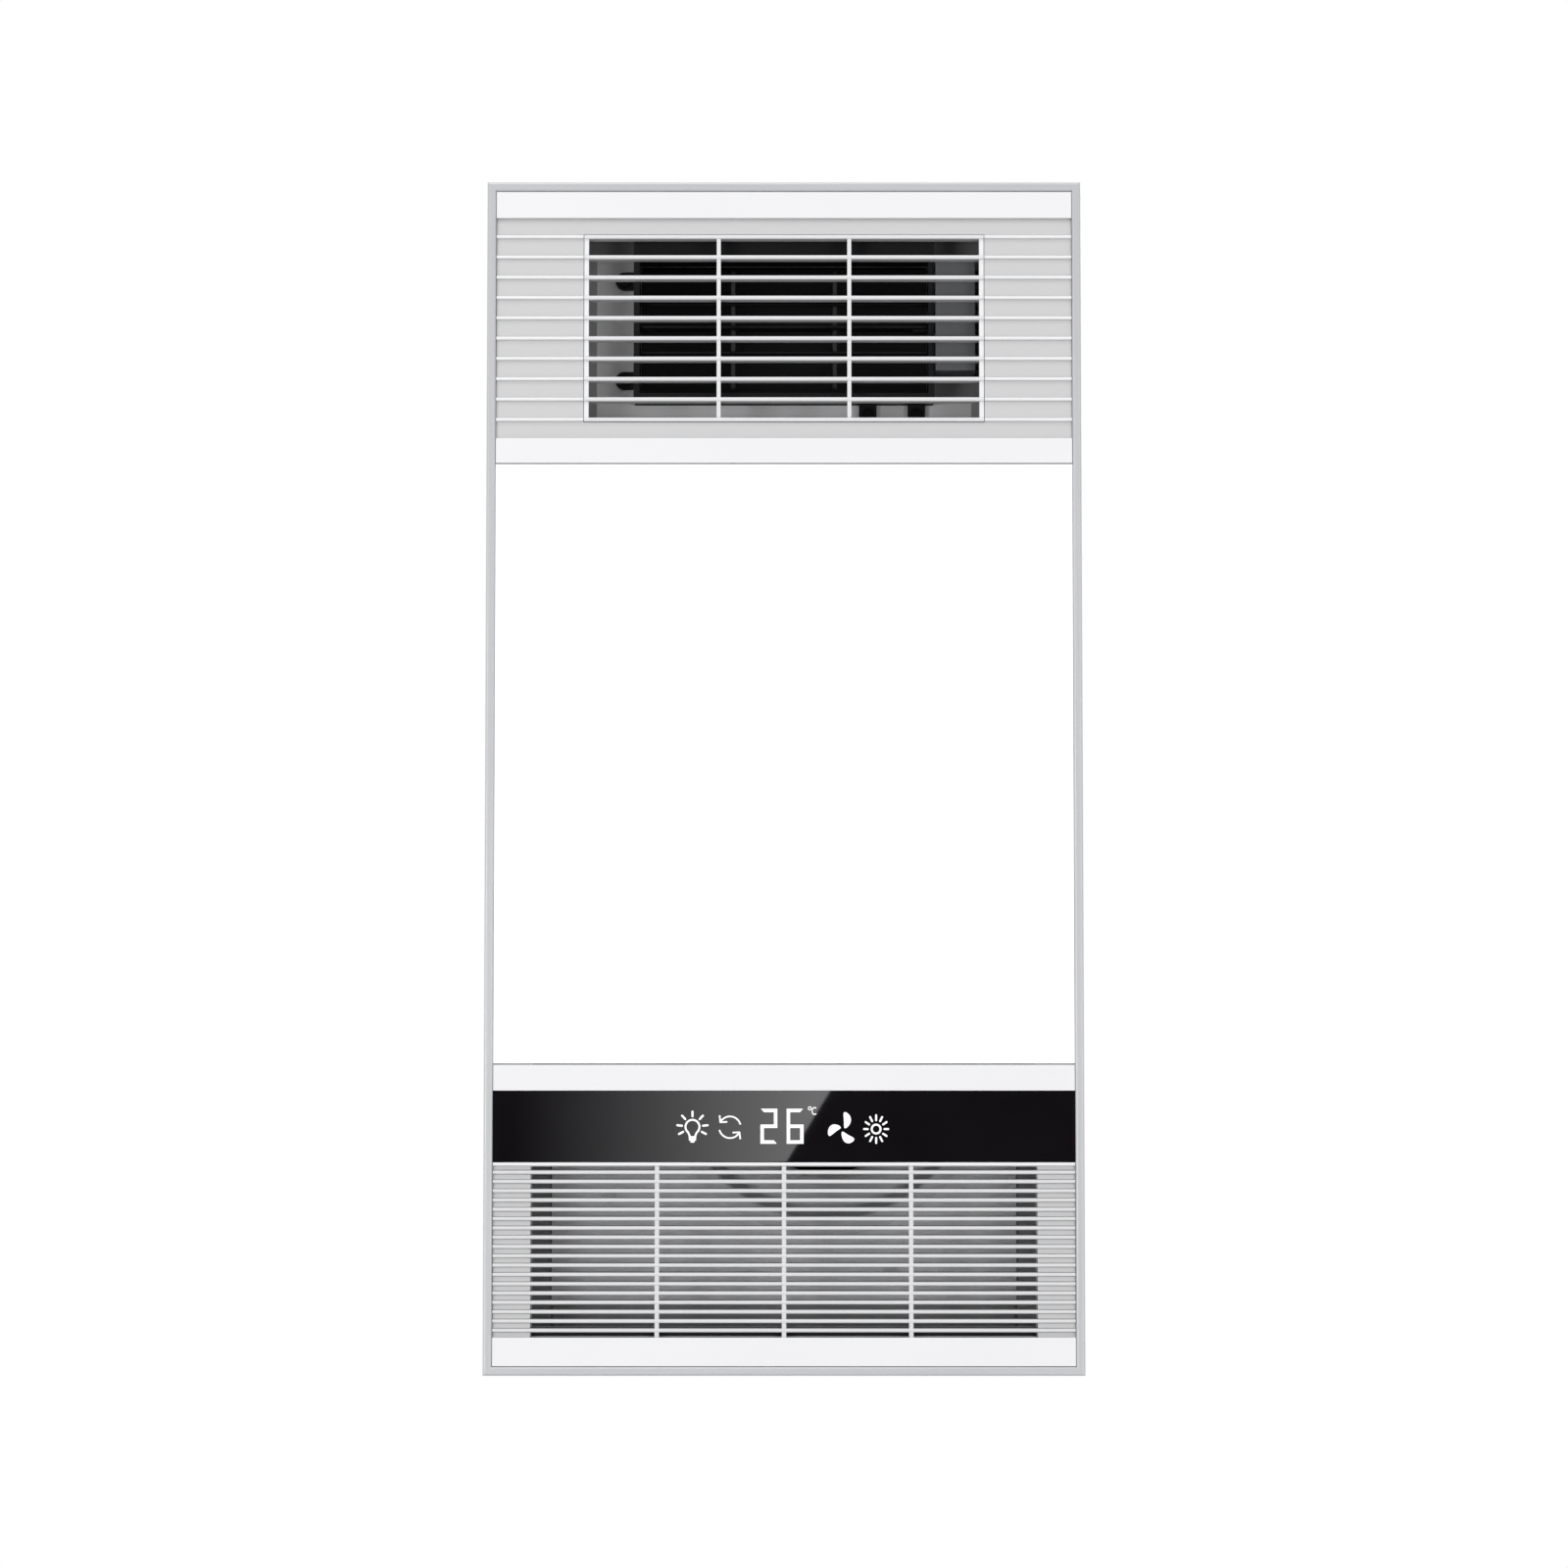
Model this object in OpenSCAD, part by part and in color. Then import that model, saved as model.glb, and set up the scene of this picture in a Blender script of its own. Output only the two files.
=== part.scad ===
// Ceiling heater and exhaust fan with LED light, 300 x 600 module.
// Frame: +Z up, face down, warm-air outlet at -Y, intake at +Y.
// Origin: centre of the four hanger holes, on the lower faces of the ears.

/* [Front panel] */
// Width of the panel over its rim
panel_w = 300; // [290:1:330]
// Length of the panel over its rim
panel_l = 600; // [590:1:660]
// Height of the rim
rim_h = 9; // [8.5:0.5:12]
// Visible width of the rim
rim_face = 4.5; // [4:0.25:6]
// Radius on the rim's lower corners
rim_round = 1.2; // [0.5:0.1:1.8]
// Drop of the ceiling plane below the hanger ears
ceiling_drop = 14; // [13:0.5:20]
// Depth of the white faces behind the rim's lowest edge
face_recess = 1; // [0.5:0.25:1.5]
// Width of the inner shelf of a rail
shelf_w = 24; // [23:0.5:26]
// Thickness of the rail's shelf and web
rail_t = 1.5; // [1.2:0.1:1.8]
// Height of the rail's web above the shelf
web_h = 10; // [8:0.5:11]
// Thickness of the moulded plates
plate_t = 2; // [1.6:0.1:2.4]
// Depth of the grey ribbed faces behind the white faces
rib_recess = 1.6; // [1:0.1:1.8]
// Gap between neighbouring modules
seam = 0.6; // [0.4:0.1:1]

/* [Warm-air outlet] */
// Width of the outer white strip
strip_1 = 13.4; // [10:0.2:16]
// Width of the shadow groove inside it
groove_w = 1.1; // [0.8:0.1:1.6]
// Width of the grey flat before the first ridge
flat_a = 7.3; // [5:0.1:10]
// Pitch of the ridges and the outlet slats
ridge_pitch = 10.34; // [9.5:0.02:11]
// Number of ridges, the first and last border the grille
ridge_n = 10; // [8:1:10]
// Thickness of a ridge or an outlet slat
ridge_w = 2.1; // [1.6:0.1:2.6]
// Width of the grey flat after the last ridge
flat_b = 8.5; // [6:0.1:11]
// Width of the inner white strip
strip_2 = 12.6; // [10:0.2:16]
// Width of the outlet grille insert
grille_w = 202; // [196:1:206]
// Width of the grille's side bars
grille_side = 2.3; // [1.8:0.1:3]
// Depth of the outlet slats
slat_depth = 8; // [6:0.5:9]
// Distance between the grille's two uprights
upright_gap = 66; // [50:1:80]
// Thickness of an upright
upright_w = 2; // [1.6:0.1:2.6]

/* [Light] */
// Thickness of the opal diffuser
diffuser_t = 2; // [1.5:0.1:2.2]
// Thickness of the light guide
guide_t = 3; // [2.6:0.1:3.2]
// Width of the LED strips' boards
led_board_t = 1.2; // [1:0.1:1.6]

/* [Display] */
// Width of the white strip beside the light
strip_3 = 13; // [10:0.2:16]
// Width of the black window
window_l = 35.3; // [32:0.1:40]
// Thickness of the window
window_t = 3; // [2:0.1:3.4]

/* [Intake] */
// Thickness of the border line beside the window
border_w = 1.4; // [1:0.1:2]
// Pitch of the fine slats
fine_pitch = 4.615; // [4.3:0.005:4.9]
// Number of fine slats
fine_n = 18; // [16:1:18]
// Thickness of a fine slat
fine_w = 2.3; // [1.8:0.1:2.5]
// Depth of a fine slat
fine_depth = 5.7; // [4.5:0.1:6]
// Width of the intake opening
intake_w = 253; // [240:1:254]
// Pitch of the three uprights
fine_upright_pitch = 63.4; // [50:0.2:75]

/* [Housing] */
// Height of the housing above the hanger ears
box_top = 128; // [127:1:140]
// Distance from the panel's edge to the housing wall
box_inset = 14; // [14:0.5:16]
// Sheet thickness of the housing
box_t = 1; // [0.8:0.1:1.2]
// Distance along the unit between the hanger holes
hanger_pitch = 400; // [300:5:440]
// Radius of a hanger hole
hanger_hole_r = 3.3; // [3:0.1:3.6]
// Reach of a hanger ear from the wall
ear_reach = 15; // [14:0.5:15.5]
// Width of a hanger ear
ear_w = 32; // [28:1:50]

/* [Air path] */
// Sheet thickness of the ducts
duct_t = 1.2; // [0.8:0.1:1.4]
// Level of the duct floor's underside
floor_z = 16; // [15.5:0.5:17]
// Level of the duct lid's underside
lid_z = 110; // [108:0.5:111]
// Room for the exhaust branch between the housing wall and the scroll
branch_room = 45; // [44:0.5:48]
// Fan centre along the unit
fan_y = 148; // [145:0.5:150]
// Outer radius of the fan wheel as a share of the panel's width
wheel_share = 0.235; // [0.227:0.001:0.238]
// Gap between the wheel and the scroll's tongue
scroll_gap = 7.5; // [6:0.5:8]
// Growth of the scroll's radius from the tongue to the outlet
scroll_grow = 34; // [32:0.5:35]
// Number of blades
blade_n = 36; // [24:1:42]
// Radius of the fan inlet's throat
throat_r = 53; // [50:0.5:54]
// Radius of the motor can
motor_r = 42; // [38:0.5:43]
// Radius of the motor shaft
shaft_r = 4; // [3:0.25:5]
// Outer radius of the exhaust spigot
spigot_r = 49; // [46:0.5:50]
// Length of the exhaust spigot
spigot_l = 36; // [34:1:37]
// Depth of the pocket that the spigot stands in
pocket_d = 21; // [19:0.5:21.5]
// Half the width of the pocket
pocket_half = 60; // [58:0.5:61]
// Radius of the damper shaft
damper_shaft_r = 3; // [2.5:0.25:4]
// Opening angle of the changeover damper
damper_turn = 80; // [70:1:82]

/* [Heater] */
// Width of the heater's opening
heater_w = 156; // [140:1:160]
// Height of the heater's opening
heater_h = 79; // [70:1:80]
// Depth of the heater frame
heater_d = 18; // [15:1:24]
// Height of a heating element
element_h = 7; // [5:0.5:8]
// Pitch of the folds in the fins
fin_pitch = 6; // [4:0.5:8]

/* [Louvre] */
// Number of vanes
vane_n = 5; // [5:1:5]
// Pitch of the vanes
vane_pitch = 13.2; // [12.8:0.1:13.6]
// Chord of a vane
vane_chord = 13; // [11:0.5:14]
// Thickness of a vane
vane_t = 1.4; // [1.2:0.1:1.8]
// Half the width of the louvre's opening
louvre_half = 73.5; // [70:0.5:75]
// Level of the vane axes
vane_z = 3; // [3:0.25:4]
// Distance of a link pin above the vane axis
crank = 5.2; // [4.8:0.1:5.4]
// Distance of the two link bars from the middle
link_x = 26; // [20:1:34]

/* [Connections] */
// Radius of the cable gland's bore
gland_bore_r = 5.5; // [4:0.25:6.5]
// Length of the cable gland
gland_l = 22; // [18:1:30]

/* [Hidden] */

$fn = 64;
cut = 1;                 // overrun of a cutter past the face it cuts
fit = 0.3;               // gap beside a piece that drops into its place
run_fit = 0.06;          // radial gap of a turning pin

// Levels and outlines of the panel
rim_top = -ceiling_drop;
rim_low = rim_top - rim_h;
face_z = rim_low + face_recess;
shelf_z = rim_top - rail_t;
plate_z = face_z + rib_recess;
half_w = panel_w / 2;
half_l = panel_l / 2;
field_x = half_w - rim_face;
field_y = half_l - rim_face;
module_x = field_x - 0.2;
box_x = half_w - box_inset;
box_y = half_l - box_inset;
box_low = rim_top + 3;
web_out_x = box_x - box_t - 1;
web_in_x = web_out_x - rail_t;
screw_x = web_in_x - 3;

// Places along the unit, from the outlet end
surround_y0 = -field_y + fit;
grey_y0 = surround_y0 + strip_1 + groove_w;
ridge_y0 = grey_y0 + flat_a + ridge_w / 2;
function ridge_y(i) = ridge_y0 + i * ridge_pitch;
ridge_y1 = ridge_y(ridge_n - 1);
grey_y1 = ridge_y1 + ridge_w / 2 + flat_b;
surround_y1 = grey_y1 + strip_2;
intake_y1 = field_y - fit;
strip_4 = 14.2;
fine_y1 = intake_y1 - strip_4;
fine_gap = fine_pitch - fine_w;
fine_y0 = fine_y1 - (fine_n + 1) * fine_pitch + fine_w;
function fine_y(i) = fine_y0 + fine_gap + fine_w / 2 + i * fine_pitch;
intake_y0 = fine_y0 - border_w;
bezel_y1 = intake_y0 - 0.4;
window_y0 = bezel_y1 - window_l;
bezel_y0 = window_y0 - strip_3;
light_y0 = surround_y1 + seam;
light_y1 = bezel_y0 - seam;
light_mid = (light_y0 + light_y1) / 2;

// Screws that hold the modules to the rails' shelves
screw_r = 1.45;
screw_head_r = 2.4;
screw_ys = [
    surround_y0 + 7, surround_y1 - 7,
    light_y0 + 12, light_mid, light_y1 - 12,
    bezel_y0 + 6.5,
    intake_y0 + 30, intake_y1 - 7
];

// Air path
wheel_r = panel_w * wheel_share;
scroll_r0 = wheel_r + scroll_gap;
scroll_r1 = scroll_r0 + scroll_grow;
fan_x = -box_x + branch_room + scroll_r1;
louvre_y = (ridge_y0 + ridge_y1) / 2 - 3.68;
heater_y0 = louvre_y + 69.5;
floor_top = floor_z + duct_t;
duct_h = lid_z - floor_top;
tongue_a = 262;
scroll_end_a = 540;
function scroll_r(a) = scroll_r0 + (scroll_r1 - scroll_r0) * (a - tongue_a) / (scroll_end_a - tongue_a);
function scroll_at(a, g) = [fan_x + (scroll_r(a) + g) * cos(a), fan_y + (scroll_r(a) + g) * sin(a)];
duct_x0 = fan_x - scroll_r1;
duct_x1 = scroll_at(tongue_a, 0)[0];
duct_y1 = 62;
spread_y0 = -60;
spread_y1 = heater_y0 + 20;
duct_half = heater_w / 2 + 17;
duct_end_y = -box_y + 6;
spread_k = tan(atan((duct_half - duct_x1) / (spread_y0 - spread_y1)) / 2);
deck_half = box_x - 18;
deck_y1 = box_y - 19;
deck_hole_r = 80;
branch_y = -3;
branch_half = 47;
port_half = 43;
duct_mid_z = (floor_top + lid_z) / 2;

// Louvre
louvre_low = -7;
louvre_wall = 3;
louvre_open_y0 = louvre_y - 34.5;
louvre_open_y1 = louvre_y + 34.5;
function vane_y(i) = louvre_y + (i - (vane_n - 1) / 2) * vane_pitch;
vane_pin_r = 1.5;
drive_stub_r = 2.5;
drive_shaft_r = 1.5;
link_pin_r = 1;
link_hole_r = 1.25;
link_half_h = 2.3;
link_t = 2;

// Damper and flap
hinge_x = duct_x0 + 4.5;
hinge_y = branch_y - branch_half - 2;
damper_t = 1.2;
damper_l = (duct_x1 - hinge_x) / sin(damper_turn) - 2;
spigot_wall = 1.5;
flap_r = spigot_r - spigot_wall - 1;
flap_axis_z = duct_mid_z + 12;
spigot_x = -box_x + pocket_d;
flap_x = spigot_x - 12;
flap_pin_half = sqrt(spigot_r * spigot_r - pow(flap_axis_z - duct_mid_z, 2)) - 0.9;
flap_pin_r = 1.5;
flap_t = 1.5;

// Heater
heater_mid_z = duct_mid_z;
fin_h = (heater_h - 4 * element_h) / 5;

// Control box
control_x0 = box_x - 84;
control_half = 48;
control_low = 78;
control_top = 120;
control_t = 1.5;
entry_z = 99;

white = "whitesmoke";
grey_sheet = "silver";
dark = [0.12, 0.12, 0.13];

// A flat shape with four true rounded corners
module round_rect(w, h, r) {
    translate([r, 0]) square([w - 2 * r, h]);
    translate([0, r]) square([w, h - 2 * r]);
    for (x = [r, w - r], y = [r, h - r])
        translate([x, y]) circle(r = r);
}

// A box from its two corners
module span(a, b) {
    translate(a) cube([b[0] - a[0], b[1] - a[1], b[2] - a[2]]);
}

// A rail's section: distance inwards from the outer edge, height from the lowest edge
module rail_section() {
    translate([0, 0]) round_rect(rim_face, rim_h, rim_round);
    translate([rim_round, rim_h - rail_t]) square([shelf_w - rim_round, rail_t]);
    translate([half_w - web_out_x, rim_h - rail_t]) square([rail_t, web_h + rail_t]);
}

// One rail of a given length on the +X side at distance half, with mitred ends
module rail(half, len) {
    intersection() {
        translate([half, len / 2, rim_low])
            rotate([90, 0, 0])
                mirror([1, 0, 0])
                    linear_extrude(len) rail_section();
        translate([0, 0, rim_low - cut])
            linear_extrude(rim_h + web_h + 2 * cut)
                polygon([
                    [half, -len / 2], [half, len / 2],
                    [half - shelf_w, len / 2 - shelf_w], [half - shelf_w, -len / 2 + shelf_w]
                ]);
    }
}

// Holes for the module screws, on both sides
module screw_places() {
    for (x = [-screw_x, screw_x], y = screw_ys)
        translate([x, y, 0]) children();
}

module screw_holes(r, z0, z1) {
    screw_places() translate([0, 0, z0]) cylinder(h = z1 - z0, r = r, $fn = 24);
}

module rail_screw_holes() {
    screw_holes(screw_r + 0.2, shelf_z - cut, rim_top + cut);
}

module side_rail() {
    difference() {
        rail(half_w, panel_l);
        rail_screw_holes();
    }
}

module left_side_rail() {
    color("lightgray") mirror([1, 0, 0]) side_rail();
}

module right_side_rail() {
    color("lightgray") side_rail();
}

module intake_end_rail() {
    color("lightgray")
        difference() {
            rotate([0, 0, 90]) rail(half_l, panel_w);
            rail_screw_holes();
        }
}

module outlet_end_rail() {
    color("lightgray")
        difference() {
            rotate([0, 0, -90]) rail(half_l, panel_w);
            rail_screw_holes();
        }
}

// Angle pieces inside the corners of the webs
module corner_keys() {
    key = 22;
    key_h = 8;
    web_y = half_l - (half_w - web_in_x);
    color("silver")
        for (sx = [-1, 1], sy = [-1, 1])
            scale([sx, sy, 1])
                translate([0, 0, rim_top]) {
                    span([web_in_x - rail_t, web_y - key, 0], [web_in_x, web_y, key_h]);
                    span([web_in_x - key, web_y - rail_t, 0], [web_in_x, web_y, key_h]);
                }
}

// A bar across the panel with a rounded nose, lowest at z0
module nosed_bar(half_len, y, w, z0, z1) {
    r = w / 2;
    translate([-half_len, y, 0])
        rotate([90, 0, 90])
            linear_extrude(2 * half_len) {
                translate([-r, z0 + r]) square([w, z1 - z0 - r]);
                translate([0, z0 + r]) circle(r = r, $fn = 32);
            }
}

// A skirt round a module, from the plate up to the rails' shelf
module skirt(y0, y1) {
    difference() {
        span([-module_x, y0, plate_z], [module_x, y1, shelf_z]);
        span([-module_x + plate_t, y0 + plate_t, plate_z - cut],
             [module_x - plate_t, y1 - plate_t, shelf_z + cut]);
    }
}

// Screw bosses of a moulded module
module bosses(y0, y1) {
    for (x = [-screw_x, screw_x], y = screw_ys)
        if (y > y0 && y < y1)
            translate([x, y, plate_z]) cylinder(h = shelf_z - plate_z, r = 2.8, $fn = 32);
}

module outlet_surround() {
    open_x = grille_w / 2 + fit;
    open_y0 = ridge_y0 - ridge_w / 2 - fit;
    open_y1 = ridge_y1 + ridge_w / 2 + fit;
    collar = 1.6;
    plate_top = plate_z + plate_t;
    color(white)
        difference() {
            union() {
                span([-module_x, surround_y0, plate_z], [module_x, surround_y1, plate_top]);
                span([-module_x, surround_y0, face_z], [module_x, surround_y0 + strip_1, plate_top]);
                span([-module_x, grey_y1, face_z], [module_x, surround_y1, plate_top]);
                for (i = [0 : ridge_n - 1])
                    nosed_bar(module_x, ridge_y(i), ridge_w, face_z + 0.2, plate_top);
                skirt(surround_y0, surround_y1);
                bosses(surround_y0, surround_y1);
                span([-open_x - collar, open_y0 - collar, plate_z],
                     [open_x + collar, open_y1 + collar, rim_top + 2]);
            }
            span([-open_x, open_y0, face_z - cut], [open_x, open_y1, rim_top + 2 + cut]);
            span([-module_x - cut, grey_y0 - groove_w, plate_z - cut],
                 [module_x + cut, grey_y0, plate_z + 0.8]);
            screw_holes(screw_r, plate_z + 0.8, shelf_z + cut);
        }
}

module outlet_grille() {
    z0 = face_z + 0.2;
    z1 = z0 + slat_depth;
    half = grille_w / 2;
    y0 = ridge_y0 - ridge_w / 2;
    y1 = ridge_y1 + ridge_w / 2;
    color(white) {
        for (i = [0 : ridge_n - 1])
            nosed_bar(half, ridge_y(i), ridge_w, z0, z1);
        for (s = [-1, 1]) {
            span([s * (half - grille_side / 2) - grille_side / 2, y0, plate_z],
                 [s * (half - grille_side / 2) + grille_side / 2, y1, z1]);
            span([s * upright_gap / 2 - upright_w / 2, y0 + ridge_w, z0 + 0.6],
                 [s * upright_gap / 2 + upright_w / 2, y1 - ridge_w, z1]);
        }
    }
}

module light_diffuser() {
    color("white")
        span([-module_x, light_y0, face_z], [module_x, light_y1, face_z + diffuser_t]);
}

guide_x = module_x - 6;
lip_t = 1.2;

module light_guide() {
    color("aliceblue")
        span([-guide_x, light_y0 + lip_t + fit, face_z + diffuser_t],
             [guide_x, light_y1 - lip_t - fit, face_z + diffuser_t + guide_t]);
}

module light_back_plate() {
    lip_z = face_z + diffuser_t;
    plate_low = lip_z + guide_t;
    color("gainsboro")
        difference() {
            span([-module_x, light_y0, lip_z], [module_x, light_y1, shelf_z]);
            span([-module_x + lip_t, light_y0 + lip_t, lip_z - cut],
                 [module_x - lip_t, light_y1 - lip_t, plate_low]);
            screw_holes(screw_r, plate_low - cut, shelf_z + cut);
        }
}

// Edge boards with their row of LEDs, one at each side of the guide
module led_strips() {
    z0 = face_z + diffuser_t;
    chip = [0.8, 3.5, 2];
    chip_pitch = 12;
    chips = floor((light_y1 - light_y0 - 24) / chip_pitch);
    board_x = guide_x + fit + chip[0];
    color("ivory")
        for (s = [0, 1])
            mirror([s, 0, 0]) {
                span([board_x, light_y0 + lip_t + fit, z0],
                     [board_x + led_board_t, light_y1 - lip_t - fit, z0 + guide_t]);
                for (i = [0 : chips])
                    translate([board_x - chip[0], light_mid + (i - chips / 2) * chip_pitch - chip[1] / 2,
                               z0 + 0.5])
                        cube(chip);
            }
}

// LED driver in its case on the back plate, with two ears
module led_driver() {
    w = 34;
    l = 110;
    h = 20;
    x0 = 30;
    y0 = light_mid + 16;
    color("white")
        difference() {
            union() {
                span([x0, y0, shelf_z], [x0 + w, y0 + l, shelf_z + h]);
                span([x0 + 8, y0 - 10, shelf_z], [x0 + w - 8, y0 + l + 10, shelf_z + 2]);
            }
            for (y = [y0 - 5, y0 + l + 5])
                translate([x0 + w / 2, y, shelf_z - cut]) cylinder(h = 4, r = 1.8, $fn = 24);
            for (i = [0 : 5])
                span([x0 + 6, y0 + 20 + i * 12, shelf_z + h - 1], [x0 + w - 6, y0 + 24 + i * 12, shelf_z + h + cut]);
        }
}

led_open = [106, 18];
led_y = window_y0 + window_l / 2;
tray_z = face_z + window_t;
tray_top = tray_z + 1.6;
board_z = tray_top + 4.4;

module display_bezel() {
    color(white)
        difference() {
            union() {
                span([-module_x, bezel_y0, face_z], [module_x, window_y0 - 0.15, plate_z + plate_t]);
                span([-module_x, window_y0 - 1, tray_z], [module_x, bezel_y1, tray_top]);
                skirt(bezel_y0, bezel_y1);
                bosses(bezel_y0, bezel_y1);
                for (x = [-54, 54], y = [led_y - 13, led_y + 13])
                    translate([x, y, tray_top - 0.5]) cylinder(h = board_z - tray_top + 0.5, r = 2.5, $fn = 32);
            }
            span([-module_x - cut, window_y0 - 0.15, face_z - cut],
                 [module_x + cut, bezel_y1 + cut, tray_z]);
            span([-led_open[0] / 2, led_y - led_open[1] / 2, face_z],
                 [led_open[0] / 2, led_y + led_open[1] / 2, tray_top + cut]);
            screw_holes(screw_r, plate_z + 0.8, shelf_z + cut);
        }
}

module display_window() {
    color(dark)
        span([-module_x, window_y0, face_z], [module_x, bezel_y1, tray_z]);
}

module display_led_block() {
    w = led_open[0] - 2 * fit;
    l = led_open[1] - 2 * fit;
    color(dark)
        span([-w / 2, led_y - l / 2, tray_z], [w / 2, led_y + l / 2, board_z]);
}

module display_board() {
    color("darkgreen") {
        span([-60, led_y - 16.5, board_z], [60, led_y + 16.5, board_z + 1.6]);
        span([-40, led_y - 6, board_z + 1.6], [-20, led_y + 4, board_z + 4.1]);
        span([34, led_y - 14, board_z + 1.6], [54, led_y - 7, board_z + 8]);
    }
}

module intake_grille() {
    z0 = face_z + 0.3;
    z1 = z0 + fine_depth;
    plate_top = plate_z + plate_t;
    side_x = intake_w / 2;
    uprights = [-fine_upright_pitch, 0, fine_upright_pitch];
    color(white)
        difference() {
            union() {
                difference() {
                    span([-module_x, intake_y0, plate_z], [module_x, intake_y1, plate_top]);
                    span([-side_x, fine_y0, plate_z - cut], [side_x, fine_y1, plate_top + cut]);
                }
                span([-module_x, intake_y0, face_z], [module_x, fine_y0, plate_top]);
                span([-module_x, fine_y1, face_z], [module_x, intake_y1, plate_top]);
                for (i = [0 : fine_n - 1]) {
                    nosed_bar(module_x, fine_y(i), fine_w, z0, plate_top);
                    span([-side_x - cut, fine_y(i) - fine_w / 2, plate_z], [side_x + cut, fine_y(i) + fine_w / 2, z1]);
                }
                for (x = uprights)
                    span([x - 1.1, fine_y0 - 0.5, z0 + 0.3], [x + 1.1, fine_y1 + 0.5, z1]);
                skirt(intake_y0, intake_y1);
                bosses(intake_y0, intake_y1);
            }
            screw_holes(screw_r, plate_z + 0.8, shelf_z + cut);
        }
}

// Leaf clips on the webs that press against the housing walls
module panel_spring_clips() {
    leaf = 0.8;
    bend_z = rim_top + web_h + 2;
    touch_x = box_x - box_t - fit;
    top_z = bend_z + 16;
    back = web_in_x - leaf;
    color("gainsboro")
        for (s = [0, 1])
            mirror([s, 0, 0])
                for (y = [-200, 90, 200])
                    translate([0, y + 6, 0])
                        rotate([90, 0, 0])
                            linear_extrude(12)
                                polygon([
                                    [back, rim_top + 1], [web_in_x, rim_top + 1], [web_in_x, bend_z - 1.5],
                                    [touch_x, bend_z + 7], [back - 1, top_z], [back - 1 - leaf, top_z],
                                    [touch_x - 1.1, bend_z + 7], [back, bend_z]
                                ]);
}

module panel_screws() {
    color("dimgray")
        screw_places() {
            translate([0, 0, rim_top]) cylinder(h = 1.6, r = screw_head_r, $fn = 24);
            translate([0, 0, shelf_z - 1]) cylinder(h = rail_t + 1.2, r = screw_r, $fn = 24);
        }
}

// Pressed ribs on the housing's top, rounded at both ends
module top_rib(x, y, len) {
    translate([x - len / 2, y, box_top]) {
        translate([0, -5, 0]) cube([len, 10, 1.2]);
        for (u = [0, len])
            translate([u, 0, 0]) cylinder(h = 1.2, r = 5, $fn = 32);
    }
}

module housing() {
    color(grey_sheet)
        difference() {
            union() {
                span([-box_x, -box_y, box_low], [box_x, box_y, box_top]);
                for (y = [-240, -170, -100, -30, 40])
                    top_rib(0, y, 190);
                translate([fan_x, fan_y, box_top]) cylinder(h = 1.2, r = 62);
            }
            span([-box_x + box_t, -box_y + box_t, box_low - cut],
                 [box_x - box_t, box_y - box_t, box_top - box_t]);
            pocket_block(-box_x - cut, -box_x + box_t + cut, pocket_half - duct_t);
            translate([box_x - box_t - cut, 0, entry_z])
                rotate([0, 90, 0]) cylinder(h = box_t + 2 * cut, r = 8, $fn = 32);
            hanger_rivet_holes();
        }
}

// A square block round the spigot's axis
module pocket_block(x0, x1, half) {
    span([x0, branch_y - half, duct_mid_z - half], [x1, branch_y + half, duct_mid_z + half]);
}

module hanger_places() {
    for (sx = [-1, 1], sy = [-1, 1])
        scale([sx, 1, 1]) translate([box_x, sy * hanger_pitch / 2, 0]) children();
}

module hanger_rivet_holes() {
    hanger_places()
        for (z = [12, 26])
            translate([-box_t - cut, 0, z])
                rotate([0, 90, 0]) cylinder(h = box_t + 4 + 2 * cut, r = 2, $fn = 24);
}

// Angle ears with a rod hole and two rivets each, with a gusset between the legs
module hanger_ears() {
    t = 2;
    hole_x = 8;
    color("silver")
        difference() {
            hanger_places()
                union() {
                    span([0, -ear_w / 2, 0], [ear_reach, ear_w / 2, t]);
                    span([0, -ear_w / 2, 0], [t, ear_w / 2, 36]);
                    for (y = [-ear_w / 2 + t, ear_w / 2])
                        translate([t, y, t])
                            rotate([90, 0, 0])
                                linear_extrude(t) polygon([[0, 0], [10, 0], [0, 16]]);
                }
            hanger_places()
                translate([hole_x, 0, -cut]) cylinder(h = t + 2 * cut, r = hanger_hole_r);
            hanger_rivet_holes();
        }
}

// Deck under the fan: hole for the inlet ring, turned-up sides and two pressed lines
module fan_deck() {
    line_x = 59.6;
    side_h = 10;
    color(grey_sheet)
        difference() {
            union() {
                span([-deck_half, duct_y1, floor_z], [deck_half, deck_y1, floor_top]);
                for (s = [-1, 1]) {
                    span([s * (deck_half - duct_t / 2) - duct_t / 2, duct_y1, floor_z],
                         [s * (deck_half - duct_t / 2) + duct_t / 2, deck_y1, floor_z + side_h]);
                    span([s * line_x - 1, 196, floor_z - 0.8], [s * line_x + 1, deck_y1, floor_z]);
                }
            }
            translate([fan_x, fan_y, floor_z - 2]) cylinder(h = 6, r = deck_hole_r + fit);
            deck_screw_holes();
        }
}

deck_screws = [[-89, 213], [54, 250], [95, 90], [-104, 90]];

module deck_screw_holes() {
    for (p = deck_screws)
        translate([p[0], p[1], floor_z - cut]) cylinder(h = 6, r = 1.5, $fn = 24);
}

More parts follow.
